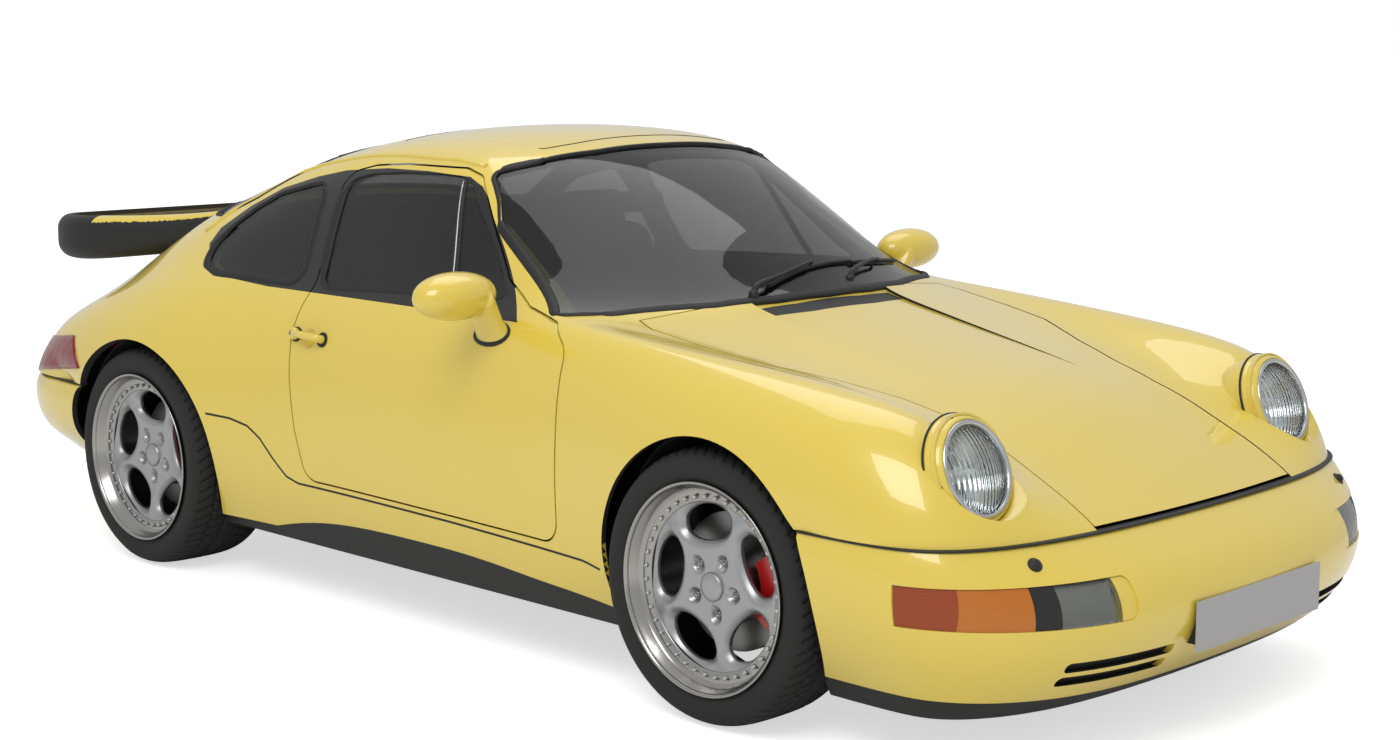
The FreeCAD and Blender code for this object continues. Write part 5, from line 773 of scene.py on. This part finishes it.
turn = circle(OVAL_STEPS)
polar = np.linspace(0, math.pi, 40)[:, None]
for side, sign in SIDES:
    flip, door = np.array([1, sign, 1]), "door_" + side
    egg = np.stack([np.sin(polar) * np.cos(turn), 0 * turn - np.cos(polar) * sign,
                    np.sin(polar) ** 0.9 * np.sin(turn)], -1) * MIRROR_HALF + MIRROR_MIDDLE * flip
    egg[..., 0] = np.maximum(egg[..., 0], MIRROR_MIDDLE[0] - MIRROR_BACK)
    foot, normal = on_side(*FOOT_AIM, sign)
    ahead = unit(np.cross(normal, np.cross([1.0, 0, 0.1], normal)))
    oval = ahead * np.cos(turn)[:, None], np.cross(normal, ahead) * np.sin(turn)[:, None]
    rings = [np.tile(foot - normal * 0.003, (OVAL_STEPS, 1))]
    for share in np.linspace(0, 1, 16):
        flare = FLARE * math.exp(-share / 0.12)
        long_way = FOOT_LONG + (NECK_LONG - FOOT_LONG) * share + flare
        wide_way = FOOT_WIDE + (NECK_WIDE - FOOT_WIDE) * share + flare
        middle = foot - normal * 0.002 + (NECK_TOP * flip - foot) * share
        rings.append(middle + oval[0] * long_way + oval[1] * wide_way)
    rings.append(np.tile(NECK_TOP * flip, (OVAL_STEPS, 1)))
    housing = many(f"mirror_housing_{side}", [egg, np.array(rings)], yellow_enamel, door)
    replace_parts(moulded(housing), "door_fittings_" + side)
    base = oval[0] * GASKET_LONG + oval[1] * GASKET_WIDE
    gasket = np.array([foot + normal * lift + base * share for share, lift in (
        (0, GASKET_ROOT), (1, GASKET_ROOT), (1, GASKET_LIP), (0.95, GASKET_TOP), (0, GASKET_TOP))])
    many(f"mirror_gasket_{side}", [gasket], black_rubber, door)

    (rear, out), (fore, _) = on_side(*HANDLE_REAR, sign), on_side(*HANDLE_FORE, sign)
    grip = curve([rear + out * 0.01, rear + out * 0.017 + (fore - rear) * 0.15,
                  (rear + fore) / 2 + out * 0.03, fore + out * 0.024 - (fore - rear) * 0.06,
                  fore + out * 0.012, fore - out * 0.002], 6)
    thick = np.interp(np.linspace(0, 1, len(grip)), GRIP_SHARES, GRIP_RADII)
    handle = many(f"door_handle_{side}", [turned(BOSS, rear, out), bar(grip, thick, 16)],
                  yellow_enamel, door)
    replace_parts(handle, "door_fittings_" + side)
    many(f"door_lock_{side}", [turned(LOCK, rear, out, 20)], black_steel, door)
    many(f"handle_gaskets_{side}", [turned(PAD, end, out, 28) for end in (rear, fore)],
         black_rubber, door)

# Mirror glasses
# Flat silvered glass, a clean mirror, closes each housing's open back with its own egg outline.
silvered_glass = finish("silvered_mirror_glass", "#C9CFD3", 0.02, 1.0)
GLASS_MIDDLE, GLASS_HALF = np.array([0.3615, 0.864, 0.915]), (0, 0.094, 0.047)
GLASS_LINE = ((0, 0), (1, 0), (1.03, 0.001), (1, 0.003), (0, 0.003))
for side, sign in SIDES:
    egg = np.stack([0 * turn, np.cos(turn) * sign, np.sin(turn)], 1) * GLASS_HALF
    grid = [egg * share + GLASS_MIDDLE * [1, sign, 1] + [depth, 0, 0] for share, depth in GLASS_LINE]
    many(f"mirror_glass_{side}", [np.array(grid)], silvered_glass, "door_" + side)


# Wipers
# Two enamelled arms rise from the cowl and hold rubber blades along the foot of the screen.
# Each is a round bar through points; the points on the screen come from rays.
def on_screen(x, y, lift):
    """The point above the windscreen at (x, y), lifted along the glass's own direction out."""
    spot, normal = struck(glass_tree, (x, y, 1.6), (0, 0, -1))
    return spot + normal * lift


WIPERS = (((0.8, -0.232, 0.897), [(0.772, -0.1), (0.752, 0.022)],
           [(0.786, -0.168), (0.766, -0.045), (0.747, 0.085), (0.727, 0.215)]),
          ((0.78, 0.16, 0.905), [(0.735, 0.262), (0.7, 0.352)],
           [(0.732, 0.214), (0.704, 0.32), (0.668, 0.425), (0.624, 0.528)]))
BLADE_LIFT, BLADE_RADIUS, ARM_LIFT, HOOK_LIFT = 0.006, 0.0055, 0.02, 0.01
ARM_RISE, ARM_SHARES, ARM_RADII = (-0.004, 0.02, 0.024), [0, 0.3, 0.5, 1], [0.009, 0.008, 0.005, 0.004]
PIVOT = stud(0.013, -0.03, 0.008, 0.009, 0.013)
for k, (pivot, arm_plan, blade_plan) in enumerate(WIPERS):
    blade = curve([on_screen(x, y, BLADE_LIFT) for x, y in blade_plan], 8)
    arm = curve([pivot, np.add(pivot, ARM_RISE), *(on_screen(x, y, ARM_LIFT) for x, y in arm_plan),
                 on_screen(*arm_plan[-1], HOOK_LIFT)], 8)
    thick = np.interp(np.linspace(0, 1, len(arm)), ARM_SHARES, ARM_RADII)
    many(f"wiper_{k + 1}", [bar(arm, thick), turned(PIVOT, pivot, (0, 0, 1), 24)], black_steel)
    many(f"wiper_blade_{k + 1}", [bar(blade, BLADE_RADIUS)], black_rubber)

# Headlamp washers
# Small turned nozzles stand on the front bumper, one under each lamp.
WASHER_SPOT, WASHER = (2.4, 0.628, 0.468), [(0, -0.004), (0.0165, -0.004), (0.0165, 0.002),
                                          (0.012, 0.0035), (0.009, 0.009), (0.005, 0.011), (0, 0.011)]
bumper_tree = skin_tree("front_bumper")
for side, sign in SIDES:
    spot, normal = struck(bumper_tree, np.multiply(WASHER_SPOT, [1, sign, 1]), (-1, 0, 0))
    many(f"headlamp_washer_{side}", [turned(WASHER, spot, normal, 28)], satin_black)

# Tail lamps' corners
# The red lens wraps round each rear corner. It is a closed plate that follows the skin: rays
# from the side give its middle, and it stands a little proud.
CORNER = np.array([[(-1.352, 0.555), (-1.412, 0.646)], [(-1.69, 0.512), (-1.69, 0.612)]])
CORNER_PROUD, CORNER_COLUMNS, CORNER_ROWS = 0.004, 24, 9
rows = np.linspace(0, 1, CORNER_ROWS)[:, None]
for side, sign in SIDES:
    grid = []
    for share in np.linspace(0, 1, CORNER_COLUMNS):
        low, high = CORNER[0] * (1 - share) + CORNER[1] * share
        skin = np.array([on_side(x, z, sign) for x, z in low + (high - low) * rows])
        lift = skin[:, 1] * CORNER_PROUD
        grid.append(np.vstack([skin[:, 0] + lift, (skin[:, 0] - lift)[::-1]]))
    ends = [np.tile(ring.mean(0), (len(ring), 1)) for ring in (grid[0], grid[-1])]
    many(f"tail_lamp_corner_{side}", [np.array([ends[0], *grid, ends[1]])], red_lens)

# Number plates
# Blank pressed sheets painted an even plain grey. They are CAD nodes.
dress(finish("painted_plate_sheet", "#A9A7A8", 0.4), "number_plates")

# Seats
# High-backed front seats and two small rear seats in black leather over foam, with side
# rolls. Each pad is a closed crowned form: a rounded section carried along its length and
# drawn in between its corners, with grooves pressed in along its channels and seams.
# Grained leather: a soft broken sheen. The grain is drawn 11 mm wide, coarse enough to show.
black_leather = grained(finish("black_grained_leather", "#2B2B2F", 0.45), "TexVoronoi",
                        90.0, 0.06, 0.0006)
dress(black_leather, "seats", "steering_wheel")
ROLL_AT, ROLL_WIDE, CROWN_SHARE, WAIST = 0.8, 0.13, 0.1, 0.035
STITCH_WIDE, CHANNEL_DEEP, CHANNEL_REACH, SEAM_DEEP = 0.022, 0.006, 0.62, 0.007
FLAT, UPRIGHT, FRONT_SEAT, REAR_SEAT = (0, 0, 1), (1, 0, 0.25), 0.342, 0.345
# Each row: name, distance from the middle, both ends (x, z), way up, width, thickness, channels,
# seam, height of the side rolls, fill.
PADS = (("front_cushion", FRONT_SEAT, (-0.262, 0.345), (0.092, 0.37), FLAT, 0.458, 0.125,
         (-0.35, 0.1, 0.55), 0.62, 0.026, 0.85),
        ("front_back", FRONT_SEAT, (-0.292, 0.37), (-0.432, 0.975), UPRIGHT, 0.452, 0.115,
         (-0.55, -0.2, 0.15, 0.5), 0.62, 0.03, 0.85),
        ("front_headrest", FRONT_SEAT, (-0.425, 0.952), (-0.463, 1.066), UPRIGHT, 0.27, 0.095,
         (), 0.7, 0.004, 0.9),
        ("rear_cushion", REAR_SEAT, (-0.79, 0.335), (-0.565, 0.352), FLAT, 0.425, 0.13,
         (0.0,), 0.7, 0.012, 0.8),
        ("rear_back", REAR_SEAT, (-0.79, 0.385), (-0.88, 0.68), UPRIGHT, 0.42, 0.085,
         (-0.3, 0.3), 0.7, 0.01, 0.8))


def pad(name, start, end, up, width, thick, channels, seam, roll, fill):
    """Closed pad from start to end: y = w |cos a|^0.4, n = t |sin a|^0.62, both closed at the
    ends by (1 - |u|^10)^0.35, less a groove exp(-((u - g) / w)^2) at each channel and seam."""
    start, end, up = (np.asarray(v, float) for v in (start, end, up))
    length = np.linalg.norm(end - start)
    run = (end - start) / length
    up = unit(up - run * (up @ run))
    u = np.sin(np.linspace(-math.pi / 2, math.pi / 2, 90))[:, None]
    a = circle(96)[None, :]
    close = (1 - np.abs(u) ** 10) ** 0.35
    y = np.sign(np.cos(a)) * np.abs(np.cos(a)) ** 0.4 * (1 - WAIST * (1 - u ** 2))
    n = np.sign(np.sin(a)) * np.abs(np.sin(a)) ** 0.62
    raised = (roll * np.exp(-((np.abs(y) - ROLL_AT) / ROLL_WIDE) ** 2)
              + CROWN_SHARE * thick * (1 - u ** 2) * (1 - y ** 2))
    pressed = SEAM_DEEP * np.exp(-((np.abs(y) - seam) / STITCH_WIDE) ** 2) + sum(
        CHANNEL_DEEP * np.exp(-((u - g) / STITCH_WIDE) ** 2) * (np.abs(y) < CHANNEL_REACH)
        for g in channels)
    height = n * thick / 2 + np.where(n > 0, np.abs(n) * (raised - pressed), 0)
    grid = ((start + end) / 2 + run * (u * length / 2)[..., None]
            + np.cross(up, run) * (y * close * width / 2)[..., None]
            + up * (height * close)[..., None])
    made = many(name, [grid], black_leather)
    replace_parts(made, "seats")


for side, sign in SIDES:
    for name, y, start, end, *form in PADS:
        pad(f"{name}_{side}", (start[0], y * sign, start[1]), (end[0], y * sign, end[1]), *form)

# Cabin fittings
# Five round instruments of flat black card behind the wheel, a gear lever with a gaiter, and
# the inside mirror on a stalk at the head of the screen. All are turned or swept forms.
dial_face = finish("printed_dial_card", "#101010", 0.6)
DIALS = ((0.0, 0.058), (0.115, 0.045), (-0.115, 0.045), (0.205, 0.036), (-0.205, 0.036))
DIAL_MIDDLE, DIAL_AXIS, DIAL_TURNS = (0.414, 0.355, 0.762), (-0.84, 0, 0.54), 40
BEZEL_LINE = ((0, -0.012), (0, 0.01), (-0.004, 0.012), (-0.007, 0.009), (-0.009, 0.003))
bezels = []
for offset, radius in DIALS:
    line = [(0, -0.012)] + [(radius + inset, h) for inset, h in BEZEL_LINE] + [(0, 0.003)]
    bezels.append(turned(line, np.add(DIAL_MIDDLE, [0, offset, 0]), DIAL_AXIS, DIAL_TURNS))
many("instruments", bezels, dial_face)
LEVER = [(0.15, 0, 0.325), (0.146, 0, 0.4), (0.128, 0, 0.48), (0.118, 0, 0.515),
         (0.112, 0, 0.545), (0.11, 0, 0.556)]
LEVER_RADII = [0.045, 0.022, 0.008, 0.016, 0.022, 0.01]
many("gear_lever", [bar(LEVER, LEVER_RADII, 20)], black_leather)
INSIDE_MIRROR, MIRROR_THICK, MIRROR_LONG, MIRROR_TALL = np.array([0.12, 0, 1.085]), 0.014, 0.118, 0.03
u = np.linspace(-1, 1, 31)[:, None]
a = circle(32)[None, :]
swell = (1 - np.abs(u) ** 6) ** 0.4
tall = MIRROR_TALL * swell * np.cos(a)
mirror = INSIDE_MIRROR + np.stack([MIRROR_THICK * swell * np.sin(a) + 0.1 * tall,
                                   MIRROR_LONG * u + 0 * a, tall], -1)
stalk = bar(INSIDE_MIRROR + [(0.01, 0, 0.01), (0.02, 0, 0.05), (0.01, 0, 0.095)], 0.006)
many("inside_mirror", [mirror, stalk], satin_black)

# Stage: floor, lamps and the photograph's camera
# A plain pale floor under soft studio light. The camera stands where the photograph was
# taken from, ahead of the car on its right side.
# Painted board: matt white, lit a little more for the camera alone, as in a cut-out picture.
FLOOR_HALF, FLOOR_GLOW, WHITE = 60.0, 0.62, (1, 1, 1, 1)
floor_mesh = bpy.data.meshes.new("floor")
floor_mesh.from_pydata([(x * FLOOR_HALF, y * FLOOR_HALF, 0)
                        for x, y in ((-1, -1), (1, -1), (1, 1), (-1, 1))], [], [(0, 1, 2, 3)])
floor = bpy.data.objects.new("floor", floor_mesh)
pale_floor = finish("pale_floor", "#F4F4F2", 0.9, Emission_Color=WHITE)
tree = pale_floor.node_tree
rays = add_node(tree, "LightPath").outputs
glow = add_node(tree, "Math", {"operation": "MULTIPLY"},
                [(rays["Is Camera Ray"], 0), (FLOOR_GLOW, 1)])
tree.links.new(glow.outputs[0], tree.nodes["Principled BSDF"].inputs["Emission Strength"])
floor_mesh.materials.append(pale_floor)
bpy.context.scene.collection.objects.link(floor)

# The world is white to the camera and through glass, and half way to grey for other rays.
WORLD_GREY, WHITE_SHARE = 0.3, 0.5
world = bpy.data.worlds.new("studio")
bpy.context.scene.world = world
world.use_nodes = True
tree = world.node_tree
tree.nodes.clear()
rays = add_node(tree, "LightPath").outputs
share = rays["Is Camera Ray"]
for other in (WHITE_SHARE, rays["Is Transmission Ray"]):
    more = add_node(tree, "Math", {"operation": "MAXIMUM"}, [(share, 0), (other, 1)])
    share = more.outputs[0]
grey = add_node(tree, "Background", {"Color": linear("#F4F6FA"), "Strength": WORLD_GREY})
white = add_node(tree, "Background", {"Color": WHITE, "Strength": 1.0})
mixed = add_node(tree, "MixShader", {},
                 [(share, 0), (grey.outputs[0], 1), (white.outputs[0], 2)])
add_node(tree, "OutputWorld", {}, [(mixed.outputs[0], "Surface")])

# Square soft boxes: name, place, height that each faces over the middle, size and power.
for name, place, aim, size, power in (("key_soft_box", (3.5, -5.5, 6.5), 0.5, 4.0, 230),
                                      ("top_soft_box", (-1.0, 1.5, 7.0), 0.8, 5.0, 120)):
    light = bpy.data.lights.new(name, "AREA")
    light.energy, light.size = power, size
    made = bpy.data.objects.new(name, light)
    made.location = place
    made.rotation_euler = (Vector((0, 0, aim)) - Vector(place)).to_track_quat("-Z", "Y").to_euler()
    bpy.context.scene.collection.objects.link(made)

CAMERA_PLACE, YAW, PITCH, ROLL = (4.5795, -4.2660, 1.5411), 2.3344541, -0.1458383, 0.001934
FOCAL_PIXELS, FRAME_WIDE, FRAME_TALL, CENTRE_PIXELS = 2214.67, 1400, 740, (729.83, 361.46)
SENSOR = 36.0
camera_data = bpy.data.cameras.new("camera")
camera_data.sensor_width = SENSOR
camera_data.lens = FOCAL_PIXELS / FRAME_WIDE * SENSOR
camera_data.shift_x = (FRAME_WIDE / 2 - CENTRE_PIXELS[0]) / FRAME_WIDE
camera_data.shift_y = (CENTRE_PIXELS[1] - FRAME_TALL / 2) / FRAME_WIDE
camera = bpy.data.objects.new("camera", camera_data)
basis = (Matrix.Rotation(YAW - math.pi / 2, 4, "Z") @ Matrix.Rotation(math.pi / 2 + PITCH, 4, "X")
         @ Matrix.Rotation(ROLL, 4, "Z"))
camera.matrix_world = Matrix.Translation(CAMERA_PLACE) @ basis
bpy.context.scene.collection.objects.link(camera)
bpy.context.scene.camera = camera
bpy.context.scene.view_settings.view_transform = "Standard"
